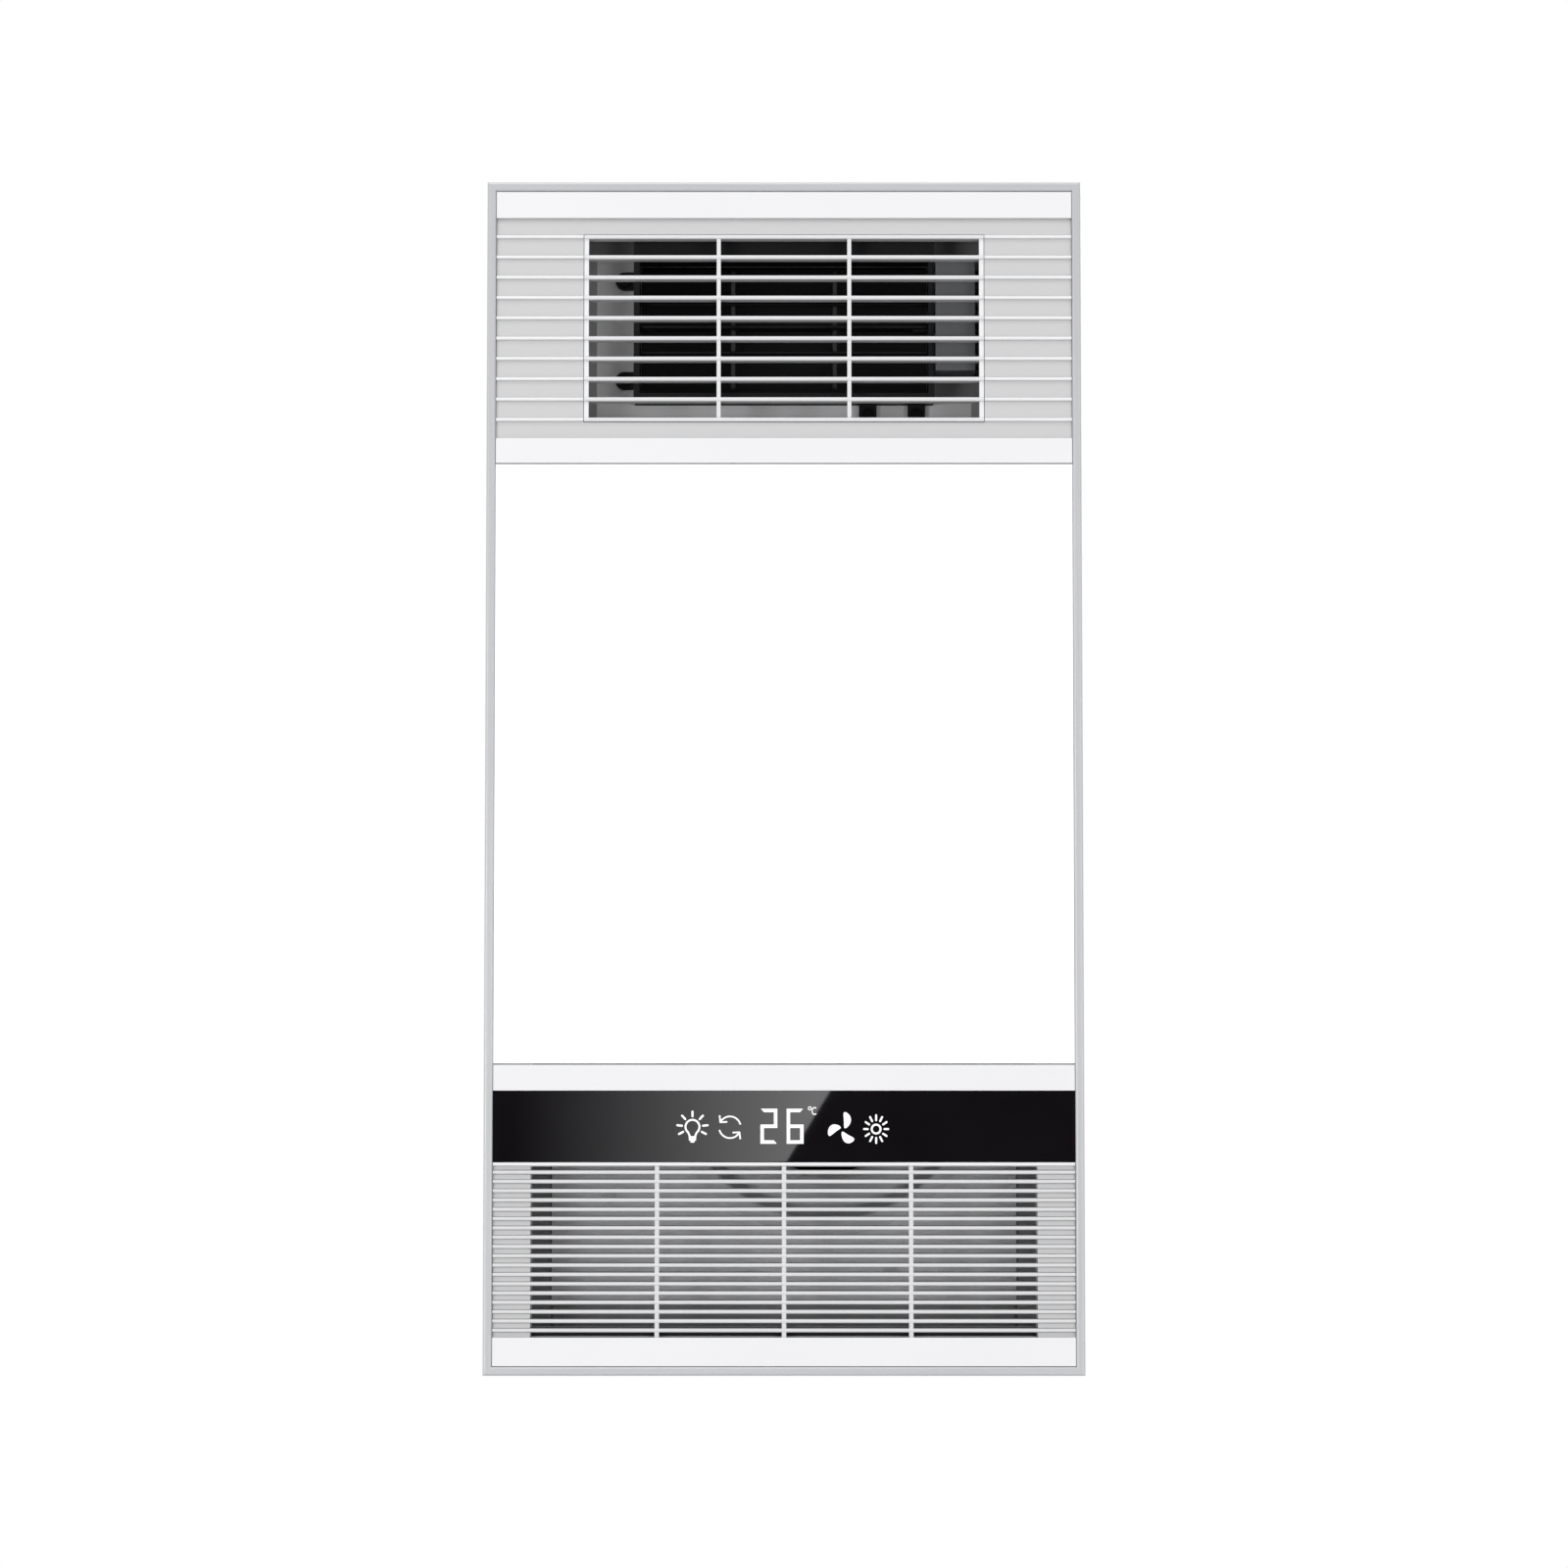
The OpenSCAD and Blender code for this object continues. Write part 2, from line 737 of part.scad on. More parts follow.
// Bell-mouth: a flange below the deck that curves in and up to the throat
module inlet_ring() {
    flange_r = deck_hole_r + 5;
    wall = 1.2;
    steps = 10;
    rise = 9;
    low = floor_z - wall;
    color("gray")
        translate([fan_x, fan_y, 0])
            rotate_extrude($fn = 96)
                polygon(concat(
                    [for (i = [0 : steps]) throat_curve(i / steps, 0, low, rise)],
                    [[flange_r, low], [flange_r, low + wall]],
                    [for (i = [steps : -1 : 0]) throat_curve(i / steps, wall, low, rise)]
                ));
}

// Quarter ellipse from the throat's top edge (t = 0) out to the flange (t = 1)
function throat_curve(t, g, low, rise) = [
    throat_r + g * cos(90 * t) + (deck_hole_r - 4 - throat_r) * (1 - cos(90 * t)),
    low + g * sin(90 * t) + (rise + 1) * (1 - sin(90 * t))
];

// Volute band with its straight outlet and the tongue's short wall
module scroll_wall() {
    steps = 36;
    t = duct_t;
    step_a = (scroll_end_a - tongue_a) / steps;
    angles = [for (i = [0 : steps]) tongue_a + i * step_a];
    tip = scroll_at(tongue_a, 0);
    color(grey_sheet)
        translate([0, 0, floor_top])
            linear_extrude(duct_h) {
                polygon(concat(
                    [for (a = angles) scroll_at(a, 0)],
                    [[duct_x0, duct_y1], [duct_x0 - t, duct_y1]],
                    [for (i = [steps : -1 : 0]) scroll_at(angles[i], t)]
                ));
                translate([tip[0], duct_y1]) square([t, tip[1] - duct_y1]);
            }
}

motor_flange_r = 52;
motor_screw_r = 48;

module motor_screw_places() {
    for (a = [45 : 90 : 315])
        translate([fan_x + motor_screw_r * cos(a), fan_y + motor_screw_r * sin(a), 0]) children();
}

module scroll_lid() {
    edge = 6;
    steps = 24;
    step_a = (scroll_end_a - tongue_a) / steps;
    color(grey_sheet)
        difference() {
            translate([0, 0, lid_z])
                linear_extrude(duct_t)
                    polygon(concat(
                        [for (i = [1 : steps]) scroll_at(tongue_a + i * step_a, edge)],
                        [[duct_x0 - edge, duct_y1], [duct_x1 + duct_t, duct_y1]]
                    ));
            translate([fan_x, fan_y, lid_z - cut]) cylinder(h = 4, r = motor_r + 1);
            motor_screw_places()
                translate([0, 0, lid_z - cut]) cylinder(h = 4, r = 1.5, $fn = 24);
        }
}

// Motor hung through the lid into the wheel's dish
motor_low = 60;
motor_high = 122;

module fan_motor() {
    flange_z = lid_z + duct_t;
    color("dimgray")
        difference() {
            translate([fan_x, fan_y, 0]) {
                rotate_extrude()
                    polygon([
                        [0, motor_low], [motor_r - 5, motor_low], [motor_r, motor_low + 5],
                        [motor_r, motor_high - 5], [motor_r - 5, motor_high], [0, motor_high]
                    ]);
                translate([0, 0, motor_low - 4]) cylinder(h = 5, r = 11);
                translate([0, 0, flange_z]) cylinder(h = 2, r = motor_flange_r);
            }
            translate([fan_x, fan_y, motor_low - 4 - cut]) cylinder(h = 46, r = shaft_r + run_fit);
            motor_screw_places()
                translate([0, 0, flange_z - cut]) cylinder(h = 4, r = 1.5, $fn = 24);
        }
}

module motor_shaft() {
    color("silver")
        translate([fan_x, fan_y, 37]) cylinder(h = motor_low + 38 - 37, r = shaft_r);
}

module wheel_nut() {
    color("silver")
        translate([fan_x, fan_y, 38])
            difference() {
                cylinder(h = 5, r = 7.5, $fn = 6);
                translate([0, 0, -cut]) cylinder(h = 5 + 2 * cut, r = shaft_r);
            }
}

// Forward-curved wheel: blades between a bottom ring and a back ring, dished hub over the motor
module fan_wheel() {
    blade_z0 = 28;
    blade_z1 = 97;
    ring_t = 2;
    ring_h = 7;
    back_t = 1.5;
    blade_in = wheel_r - 15.5;
    dish_r = motor_r + 3;
    dish_t = 1.2;
    hub_r = 10;
    function blade_pt(u, g) =
        let (r = blade_in + (wheel_r - 1.5 - blade_in) * u, a = 14 * u * u)
        [(r) * cos(a) - g * sin(a + 20), (r) * sin(a) + g * cos(a + 20)];
    color("gainsboro")
        translate([fan_x, fan_y, 0]) {
            for (i = [0 : blade_n - 1])
                rotate([0, 0, i * 360 / blade_n])
                    translate([0, 0, blade_z0])
                        linear_extrude(blade_z1 - blade_z0)
                            polygon(concat(
                                [for (u = [0 : 0.25 : 1]) blade_pt(u, 0)],
                                [for (u = [1 : -0.25 : 0]) blade_pt(u, 1)]
                            ));
            rotate_extrude($fn = 96)
                translate([wheel_r - ring_t, blade_z0 - ring_t]) square([ring_t, ring_h]);
            difference() {
                rotate_extrude($fn = 96)
                    polygon([
                        [0, 43], [hub_r, 43], [hub_r, 48.8], [dish_r - 6, 50], [dish_r + dish_t, 56],
                        [dish_r + dish_t, blade_z1], [wheel_r, blade_z1],
                        [wheel_r, blade_z1 + back_t], [dish_r, blade_z1 + back_t], [dish_r, 56.5],
                        [dish_r - 6.5, 51.4], [hub_r, 50.2], [hub_r, 54], [0, 54]
                    ]);
                translate([0, 0, 40]) cylinder(h = 20, r = shaft_r);
            }
        }
}

module run_capacitor() {
    x = fan_x - 79;
    y = fan_y - 8;
    z = lid_z + duct_t;
    color("dimgray")
        difference() {
            union() {
                span([x - 18, y - 12, z], [x + 18, y + 12, z + 14]);
                span([x - 26, y - 6, z], [x + 26, y + 6, z + 1.6]);
            }
            for (s = [-1, 1])
                translate([x + s * 22, y, z - cut]) cylinder(h = 4, r = 1.8, $fn = 24);
        }
}

// Outline of the duct between the scroll and the outlet chamber, g outside its inner faces
function duct_outline(g) = [
    [duct_x0 - g, duct_y1], [duct_x0 - g, spread_y1 + 20], [-duct_half - g, spread_y1],
    [-duct_half - g, duct_end_y - g], [duct_half + g, duct_end_y - g],
    [duct_half + g, spread_y1 + g * spread_k], [duct_x1 + g, spread_y0 + g * spread_k],
    [duct_x1 + g, duct_y1]
];

module duct_plate(z, g) {
    translate([0, 0, z]) linear_extrude(duct_t) polygon(duct_outline(g));
}

module duct_floor() {
    color(grey_sheet)
        difference() {
            union() {
                duct_plate(floor_z, duct_t);
                translate([hinge_x, hinge_y, floor_z]) cylinder(h = duct_t, r = 27);
            }
            span([-louvre_half, louvre_open_y0, floor_z - cut], [louvre_half, louvre_open_y1, floor_top + cut]);
            translate([hinge_x, hinge_y, floor_z - cut]) cylinder(h = 4, r = damper_shaft_r + run_fit);
            span([-box_x, branch_y - branch_half, floor_top], [duct_x0 - duct_t, branch_y + branch_half, floor_top + cut]);
        }
}

module duct_walls() {
    port_z0 = floor_top + 6;
    port_z1 = lid_z - 6;
    color(grey_sheet)
        difference() {
            translate([0, 0, floor_top])
                linear_extrude(duct_h)
                    difference() {
                        polygon(duct_outline(duct_t));
                        polygon(duct_outline(0));
                        translate([duct_x0, duct_y1 - duct_t - cut]) square([duct_x1 - duct_x0, duct_t + 2 * cut]);
                    }
            span([duct_x0 - duct_t - cut, branch_y - port_half, port_z0],
                 [duct_x0 + cut, branch_y + port_half, port_z1]);
        }
}

module duct_lid() {
    color(grey_sheet)
        difference() {
            duct_plate(lid_z, duct_t);
            translate([hinge_x, hinge_y, lid_z - cut]) cylinder(h = 4, r = damper_shaft_r + run_fit);
        }
}

// Hat brackets that hang the lids from the housing's top
module lid_hangers() {
    low = lid_z + duct_t;
    h = box_top - box_t - low;
    half = 12;
    foot = 10;
    t = 1.5;
    color("silver")
        for (p = [[21, 222], [96, 150], [-60, 190], [-40, 20], [0, -200], [-40, -100]])
            translate([p[0], p[1] + 10, low])
                rotate([90, 0, 0])
                    linear_extrude(20)
                        polygon([
                            [-half - foot, 0], [-half + t, 0], [-half + t, h - t], [half - t, h - t],
                            [half - t, 0], [half + foot, 0], [half + foot, t], [half, t],
                            [half, h], [-half, h], [-half, t], [-half - foot, t]
                        ]);
}

module heater_frame() {
    x = duct_half - fit;
    z0 = floor_top + fit;
    z1 = lid_z - fit;
    color(dark)
        difference() {
            union() {
                span([-x, heater_y0, z0], [x, heater_y0 + heater_d, z1]);
                for (s = [-1, 1], z = [z0, z1 - 2])
                    span([s * 60 - 10, heater_y0 + heater_d, z], [s * 60 + 10, heater_y0 + heater_d + 9, z + 2]);
            }
            span([-heater_w / 2, heater_y0 - cut, heater_mid_z - heater_h / 2],
                 [heater_w / 2, heater_y0 + heater_d + cut, heater_mid_z + heater_h / 2]);
        }
}

heater_low = heater_mid_z - heater_h / 2;

module ptc_elements() {
    color("burlywood")
        for (i = [0 : 3])
            translate([-heater_w / 2, heater_y0 + 2, heater_low + fin_h + i * (fin_h + element_h)])
                cube([heater_w, heater_d - 4, element_h]);
}

// Corrugated fins between the elements, each one folded strip
module heater_fins() {
    thick = 1.6;
    folds = floor(heater_w / fin_pitch);
    step = heater_w / (2 * folds);
    color("lightgray")
        for (row = [0 : 4])
            translate([-heater_w / 2, heater_y0 + heater_d - 2.5, heater_low + row * (fin_h + element_h)])
                rotate([90, 0, 0])
                    linear_extrude(heater_d - 5)
                        polygon(concat(
                            [for (i = [0 : 2 * folds]) [i * step, (i % 2) * (fin_h - thick)]],
                            [for (i = [2 * folds : -1 : 0]) [i * step, (i % 2) * (fin_h - thick) + thick]]
                        ));
}

module thermal_cutout() {
    y = heater_y0 + heater_d;
    x = -(heater_w / 2 + duct_half) / 2;
    color("tan")
        translate([x, y, heater_mid_z])
            rotate([-90, 0, 0]) {
                cylinder(h = 5, r = 7.5);
                cylinder(h = 1, r = 7.9);
                for (s = [-1, 1])
                    translate([s * 3 - 0.4, -3, 5]) cube([0.8, 6, 8]);
            }
}

// Square sleeve from the duct's port to the plate of a pocket that opens through the housing wall
module exhaust_branch() {
    x1 = duct_x0 - duct_t;
    half = branch_half;
    wall_x = -box_x + box_t;
    lip = 2;
    color(grey_sheet)
        difference() {
            union() {
                span([spigot_x, branch_y - half, floor_top], [x1, branch_y + half, lid_z]);
                pocket_block(wall_x, spigot_x + duct_t, pocket_half);
                pocket_block(wall_x, wall_x + duct_t, pocket_half + lip);
            }
            pocket_block(wall_x - cut, spigot_x, pocket_half - duct_t);
            span([spigot_x - cut, branch_y - half + duct_t, floor_top + duct_t],
                 [x1 + cut, branch_y + half - duct_t, lid_z - duct_t]);
        }
}

spigot_flange_half = 56;

module spigot_screw_places() {
    for (y = [-50.5, 50.5], z = [-50.5, 50.5])
        translate([spigot_x, branch_y + y, duct_mid_z + z]) rotate([0, -90, 0]) children();
}

// Round collar with a square flange, and bearing pads inside it for the flap's pin
module exhaust_spigot() {
    inner_r = spigot_r - spigot_wall;
    flange_t = 2;
    pad_in = 42.6;
    color("dimgray")
        difference() {
            union() {
                difference() {
                    translate([spigot_x, branch_y, duct_mid_z])
                        rotate([0, -90, 0]) {
                            cylinder(h = spigot_l, r = spigot_r, $fn = 96);
                            translate([-spigot_flange_half, -spigot_flange_half, 0])
                                linear_extrude(flange_t)
                                    round_rect(2 * spigot_flange_half, 2 * spigot_flange_half, 6);
                        }
                    translate([spigot_x + cut, branch_y, duct_mid_z])
                        rotate([0, -90, 0]) cylinder(h = spigot_l + 2 * cut, r = inner_r, $fn = 96);
                }
                for (s = [-1, 1])
                    translate([flap_x, branch_y + s * pad_in, flap_axis_z])
                        rotate([-90 * s, 0, 0]) cylinder(h = flap_pin_half - pad_in - 0.6, r = 4, $fn = 32);
            }
            translate([flap_x, branch_y, flap_axis_z])
                rotate([90, 0, 0]) cylinder(h = 2 * flap_pin_half + 0.6, r = flap_pin_r, center = true, $fn = 32);
            spigot_screw_places() translate([0, 0, -cut]) cylinder(h = flange_t + 2 * cut, r = 2, $fn = 24);
        }
}

module flap_pin() {
    color("silver")
        translate([flap_x, branch_y, flap_axis_z])
            rotate([90, 0, 0]) cylinder(h = 2 * flap_pin_half, r = flap_pin_r, center = true, $fn = 32);
}

// Round flap with its hinge barrel, hung above its middle so that it falls shut
module backdraft_flap() {
    barrel_r = flap_pin_r + 1.4;
    notch_y = 41.6;
    chord = sqrt(flap_r * flap_r - pow(flap_axis_z - duct_mid_z, 2)) - 7;
    color("white")
        difference() {
            union() {
                translate([flap_x + flap_t / 2, branch_y, duct_mid_z])
                    rotate([0, -90, 0]) cylinder(h = flap_t, r = flap_r, $fn = 96);
                translate([flap_x, branch_y, flap_axis_z])
                    rotate([90, 0, 0]) cylinder(h = 2 * chord, r = barrel_r, center = true, $fn = 32);
                span([flap_x - flap_t / 2 - 2, branch_y - 1, duct_mid_z - flap_r + 6],
                     [flap_x - flap_t / 2, branch_y + 1, flap_axis_z]);
            }
            translate([flap_x, branch_y, flap_axis_z])
                rotate([90, 0, 0]) cylinder(h = 4 * spigot_r, r = flap_pin_r + run_fit, center = true, $fn = 32);
            for (s = [-1, 1])
                translate([flap_x, branch_y + s * (notch_y + 6), flap_axis_z])
                    cube([12, 12, 11], center = true);
        }
}

damper_motor_top = floor_z;

module damper_motor() {
    h = 17;
    color("silver")
        difference() {
            translate([hinge_x, hinge_y, 0]) {
                translate([0, 0, damper_motor_top - h]) cylinder(h = h - 4, r = 25);
                translate([0, 0, damper_motor_top - 4]) cylinder(h = 4, r = 9);
                for (a = [45, 225])
                    rotate([0, 0, a])
                        translate([-5, 20, damper_motor_top - 5]) cube([10, 12, 1.2]);
                translate([-8, -34, damper_motor_top - h + 1]) cube([16, 12, 9]);
            }
            translate([hinge_x, hinge_y, damper_motor_top - 8])
                cylinder(h = 8 + cut, r = damper_shaft_r + run_fit);
        }
}

// Plate on an upright shaft that shuts the exhaust port at rest
module changeover_damper() {
    gap = 1.2;
    z0 = floor_top + gap;
    z1 = lid_z - gap;
    color("gainsboro")
        translate([hinge_x, hinge_y, 0]) {
            span([-damper_t / 2, 0, z0], [damper_t / 2, damper_l, z1]);
            translate([0, 0, damper_motor_top - 6]) cylinder(h = lid_z + duct_t + 2 - damper_motor_top + 6, r = damper_shaft_r);
            for (z = [z0 + 18, z1 - 18])
                span([-damper_t / 2 - 1.4, 6, z], [damper_t / 2, damper_l - 6, z + 3]);
        }
}

louvre_lugs_left = [louvre_open_y0 + 8, louvre_open_y1 - 9.5];
louvre_lugs_end = [43, 68];
lug_z = floor_z - 3;

module lug_places() {
    for (y = louvre_lugs_left)
        translate([-louvre_half - louvre_wall - 5.5, y, 0]) children();
    for (x = louvre_lugs_end)
        translate([x, louvre_open_y1 + louvre_wall + 5, 0]) children();
}

module louvre_frame() {
    x = louvre_half + louvre_wall;
    y0 = louvre_open_y0 - 9;
    y1 = louvre_open_y1 + louvre_wall;
    color(dark)
        difference() {
            union() {
                span([-x, y0, louvre_low], [x, y1, floor_z]);
                lug_places() translate([0, 0, lug_z]) cylinder(h = 3, r = 4.5, $fn = 32);
                for (y = louvre_lugs_left)
                    span([-x - 5.5, y - 4.5, lug_z], [-x + 1, y + 4.5, floor_z]);
                for (lx = louvre_lugs_end)
                    span([lx - 4.5, y1 - 1, lug_z], [lx + 4.5, y1 + 5, floor_z]);
            }
            span([-louvre_half, louvre_open_y0, louvre_low - cut],
                 [louvre_half, louvre_open_y1, floor_z + cut]);
            span([-louvre_half, y0 + 2, louvre_low + 2], [louvre_half, louvre_open_y0 - 2, floor_z + cut]);
            for (i = [0 : vane_n - 1])
                translate([0, vane_y(i), vane_z])
                    rotate([0, 90, 0]) cylinder(h = 2 * x + 10, r = vane_pin_r + run_fit, center = true, $fn = 32);
            translate([louvre_half - cut, louvre_y, vane_z])
                rotate([0, 90, 0]) cylinder(h = louvre_wall + 2 * cut, r = drive_stub_r + run_fit, $fn = 32);
            lug_places() translate([0, 0, lug_z - cut]) cylinder(h = 6, r = 1.5, $fn = 24);
        }
}

// A vane: thin aerofoil blade with end pins, notches for the link bars and a pin in each notch
module louvre_vane(i) {
    half = louvre_half - 0.5;
    r = vane_t / 2;
    notch_low = 0.8;
    driven = i == (vane_n - 1) / 2;
    color(dark)
        translate([0, vane_y(i), vane_z])
            difference() {
                union() {
                    difference() {
                        translate([-half, 0, 0])
                            rotate([90, 0, 90])
                                linear_extrude(2 * half) {
                                    translate([-r, -vane_chord / 2 + r]) square([vane_t, vane_chord - vane_t]);
                                    for (z = [-vane_chord / 2 + r, vane_chord / 2 - r])
                                        translate([0, z]) circle(r = r, $fn = 24);
                                }
                        for (s = [-1, 1])
                            span([s * link_x - 3, -vane_t, notch_low], [s * link_x + 3, vane_t, vane_chord]);
                    }
                    for (s = [-1, 1])
                        translate([s * link_x - 3.5, 0, crank]) rotate([0, 90, 0]) cylinder(h = 7, r = link_pin_r, $fn = 24);
                    translate([-half - 2.5, 0, 0])
                        rotate([0, 90, 0]) cylinder(h = driven ? 10 : 2 * half + 5, r = vane_pin_r, $fn = 32);
                    if (driven)
                        translate([half - 7, 0, 0])
                            rotate([0, 90, 0]) cylinder(h = 11, r = drive_stub_r, $fn = 32);
                }
                if (driven)
                    translate([half - 3, 0, 0])
                        rotate([0, 90, 0]) cylinder(h = 8, r = drive_shaft_r, $fn = 32);
            }
}

module louvre_vane_1() { louvre_vane(0); }
module louvre_vane_2() { louvre_vane(1); }
module louvre_vane_3() { louvre_vane(2); }
module louvre_vane_4() { louvre_vane(3); }
module louvre_vane_5() { louvre_vane(4); }

// Two bars with a round hole for every vane's crank pin
module vane_link() {
    y0 = vane_y(0) - 2;
    y1 = vane_y(vane_n - 1) + 2;
    color(dark)
        for (s = [-1, 1])
            difference() {
                translate([s * link_x - link_t / 2, 0, vane_z + crank]) {
                    span([0, y0, -link_half_h], [link_t, y1, link_half_h]);
                    for (y = [y0, y1])
                        translate([0, y, 0]) rotate([0, 90, 0]) cylinder(h = link_t, r = link_half_h, $fn = 32);
                }
                for (i = [0 : vane_n - 1])
                    translate([s * link_x - link_t, vane_y(i), vane_z + crank])
                        rotate([0, 90, 0]) cylinder(h = 2 * link_t, r = link_hole_r, $fn = 24);
            }
}

cover_x0 = louvre_half + louvre_wall + 0.5;
cover_x1 = cover_x0 + 20;
cover_y0 = louvre_y - 32.5;
cover_y1 = louvre_y + 23.5;

module vane_motor() {
    body_x = cover_x0 + 1.2;
    color("silver")
        translate([body_x, louvre_y, vane_z]) {
            rotate([0, 90, 0]) cylinder(h = 16.5, r = 11.5);
            translate([-5.5, 0, 0]) rotate([0, 90, 0]) cylinder(h = 6, r = drive_shaft_r, $fn = 32);
            for (s = [-1, 1])
                translate([0, s * 16 - 6, -4]) cube([1.2, 12, 8]);
            translate([4, -7, 9]) cube([9, 14, floor_z - vane_z - 9]);
        }
}

// Sheet cover round the vane motor, open towards the louvre frame and the duct floor
module vane_motor_cover() {
    t = 1;
    low = vane_z - 13.5;
    color("darkgray")
        difference() {
            span([cover_x0, cover_y0, low], [cover_x1, cover_y1, floor_z]);
            span([cover_x0 - cut, cover_y0 + t, low + t], [cover_x1 - t, cover_y1 - t, floor_z + cut]);
        }
}

// Steel box on the side wall, open downwards
module control_box() {
    x1 = box_x - box_t;
    t = control_t;
    color("gainsboro")
        difference() {
            span([control_x0, -control_half, control_low], [x1, control_half, control_top]);
            span([control_x0 + t, -control_half + t, control_low - cut],
                 [x1 - t, control_half - t, control_top - t]);
            translate([x1 - 5, 0, entry_z]) rotate([0, 90, 0]) cylinder(h = 10, r = 8, $fn = 32);
        }
}

module control_box_lid() {
    x1 = box_x - box_t - fit;
    color("silver")
        difference() {
            span([control_x0, -control_half, control_low - control_t], [x1, control_half, control_low]);
            for (i = [0 : 7])
                span([control_x0 + 14, -30 + i * 8, control_low - control_t - cut],
                     [control_x0 + 54, -27 + i * 8, control_low + cut]);
        }
}

pcb_z = control_low + 30;
pcb_x0 = control_x0 + 5;
pcb_x1 = box_x - box_t - 5;

// Board on four posts, with relays, transformer and capacitor on its lower side
module control_board() {
    color("darkgreen") {
        span([pcb_x0, -42, pcb_z], [pcb_x1, 42, pcb_z + 1.6]);
        for (x = [pcb_x0 + 5, pcb_x1 - 5], y = [-37, 37])
            translate([x, y, pcb_z + 1.6]) cylinder(h = control_top - control_t - pcb_z - 1.6, r = 2.5, $fn = 24);
        for (i = [0 : 3])
            span([pcb_x0 + 4, -38 + i * 18, pcb_z - 16], [pcb_x0 + 23, -23 + i * 18, pcb_z]);
        span([pcb_x0 + 28, -36, pcb_z - 22], [pcb_x0 + 54, -14, pcb_z]);
        translate([pcb_x0 + 38, 22, pcb_z - 18]) cylinder(h = 18, r = 8, $fn = 32);
    }
}

module terminal_block() {
    x0 = pcb_x1 - 16;
    color("white")
        difference() {
            span([x0, -10, pcb_z - 14], [x0 + 12, 34, pcb_z]);
            for (i = [0 : 4])
                translate([x0 + 6, -5.5 + i * 8.75, pcb_z - 15]) cylinder(h = 8, r = 2.6, $fn = 24);
        }
}

cover_out = 21;
wiring_half = 30;
wiring_z0 = 84;
wiring_z1 = 124;

// Cover over the cable entry on the side wall, with two flanges
module wiring_cover() {
    t = 1.2;
    color("silver")
        difference() {
            union() {
                span([box_x, -wiring_half, wiring_z0], [box_x + cover_out, wiring_half, wiring_z1]);
                span([box_x, -wiring_half - 12, wiring_z0 + 8], [box_x + t, wiring_half + 12, wiring_z1 - 8]);
            }
            span([box_x - cut, -wiring_half + t, wiring_z0 + t],
                 [box_x + cover_out - t, wiring_half - t, wiring_z1 - t]);
            for (y = [-wiring_half - 6, wiring_half + 6])
                translate([box_x - cut, y, entry_z + 12]) rotate([0, 90, 0]) cylinder(h = 4, r = 2.2, $fn = 24);
            translate([box_x + cover_out / 2, wiring_half, entry_z])
                rotate([-90, 0, 0]) cylinder(h = 13, r = gland_bore_r + 5.5, $fn = 32);
            translate([box_x + cover_out / 2, wiring_half - 5, entry_z])
                rotate([-90, 0, 0]) cylinder(h = 10, r = gland_bore_r + 2.5, $fn = 32);
        }
}

// Gland through the cover's wall: threaded neck, inner nut, hexagon and domed cap
module cable_gland() {
    neck_r = gland_bore_r + 2.5;
    y0 = wiring_half - 7;
    color(dark)
        translate([box_x + cover_out / 2, y0, entry_z])
            rotate([-90, 0, 0])
                difference() {
                    union() {
                        cylinder(h = gland_l, r = neck_r, $fn = 32);
                        translate([0, 0, 1.8]) rotate([0, 0, 30]) cylinder(h = 4, r = neck_r + 2.3, $fn = 6);
                        translate([0, 0, 7]) rotate([0, 0, 30]) cylinder(h = 5, r = neck_r + 2.6, $fn = 6);
                        translate([0, 0, 12]) cylinder(h = gland_l - 14, r = neck_r + 1.8, $fn = 48);
                    }
                    translate([0, 0, -cut]) cylinder(h = gland_l + 2 * cut, r = gland_bore_r);
                }
}

module pan_screw(len) {
    cylinder(h = 1.6, r = 3.2, $fn = 24);
    translate([0, 0, -len]) cylinder(h = len, r = 1.5, $fn = 24);
}

// Screws of the motor flange, deck, louvre lugs and spigot flange
module chassis_screws() {
    color("dimgray") {
        motor_screw_places() translate([0, 0, lid_z + duct_t + 2]) pan_screw(2 + duct_t);
        for (p = deck_screws)
            translate([p[0], p[1], floor_z]) rotate([180, 0, 0]) pan_screw(duct_t);
        lug_places() translate([0, 0, lug_z]) rotate([180, 0, 0]) pan_screw(3);
        spigot_screw_places() translate([0, 0, 2]) pan_screw(2);
    }
}

left_side_rail();
right_side_rail();
outlet_end_rail();
intake_end_rail();
corner_keys();
outlet_surround();
outlet_grille();
light_diffuser();
light_guide();
light_back_plate();
led_strips();
led_driver();
display_bezel();
display_window();
display_board();
display_led_block();
intake_grille();
panel_spring_clips();
panel_screws();
housing();
hanger_ears();
fan_deck();
inlet_ring();
scroll_wall();
scroll_lid();
fan_motor();
run_capacitor();
duct_floor();
duct_walls();
duct_lid();
lid_hangers();
heater_frame();
ptc_elements();
heater_fins();
thermal_cutout();
exhaust_branch();
exhaust_spigot();
flap_pin();
damper_motor();
louvre_frame();
vane_motor();
vane_motor_cover();
control_box();
control_box_lid();
control_board();
terminal_block();
wiring_cover();
cable_gland();
chassis_screws();
fan_wheel();
motor_shaft();
wheel_nut();
changeover_damper();
backdraft_flap();
louvre_vane_1();
louvre_vane_2();
louvre_vane_3();
louvre_vane_4();
louvre_vane_5();
vane_link();
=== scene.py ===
"""Looks of the ceiling heater and exhaust fan: finishes, printed signs, sheet trim and stage."""
import math

import bmesh
import bpy
from mathutils import Matrix, Vector


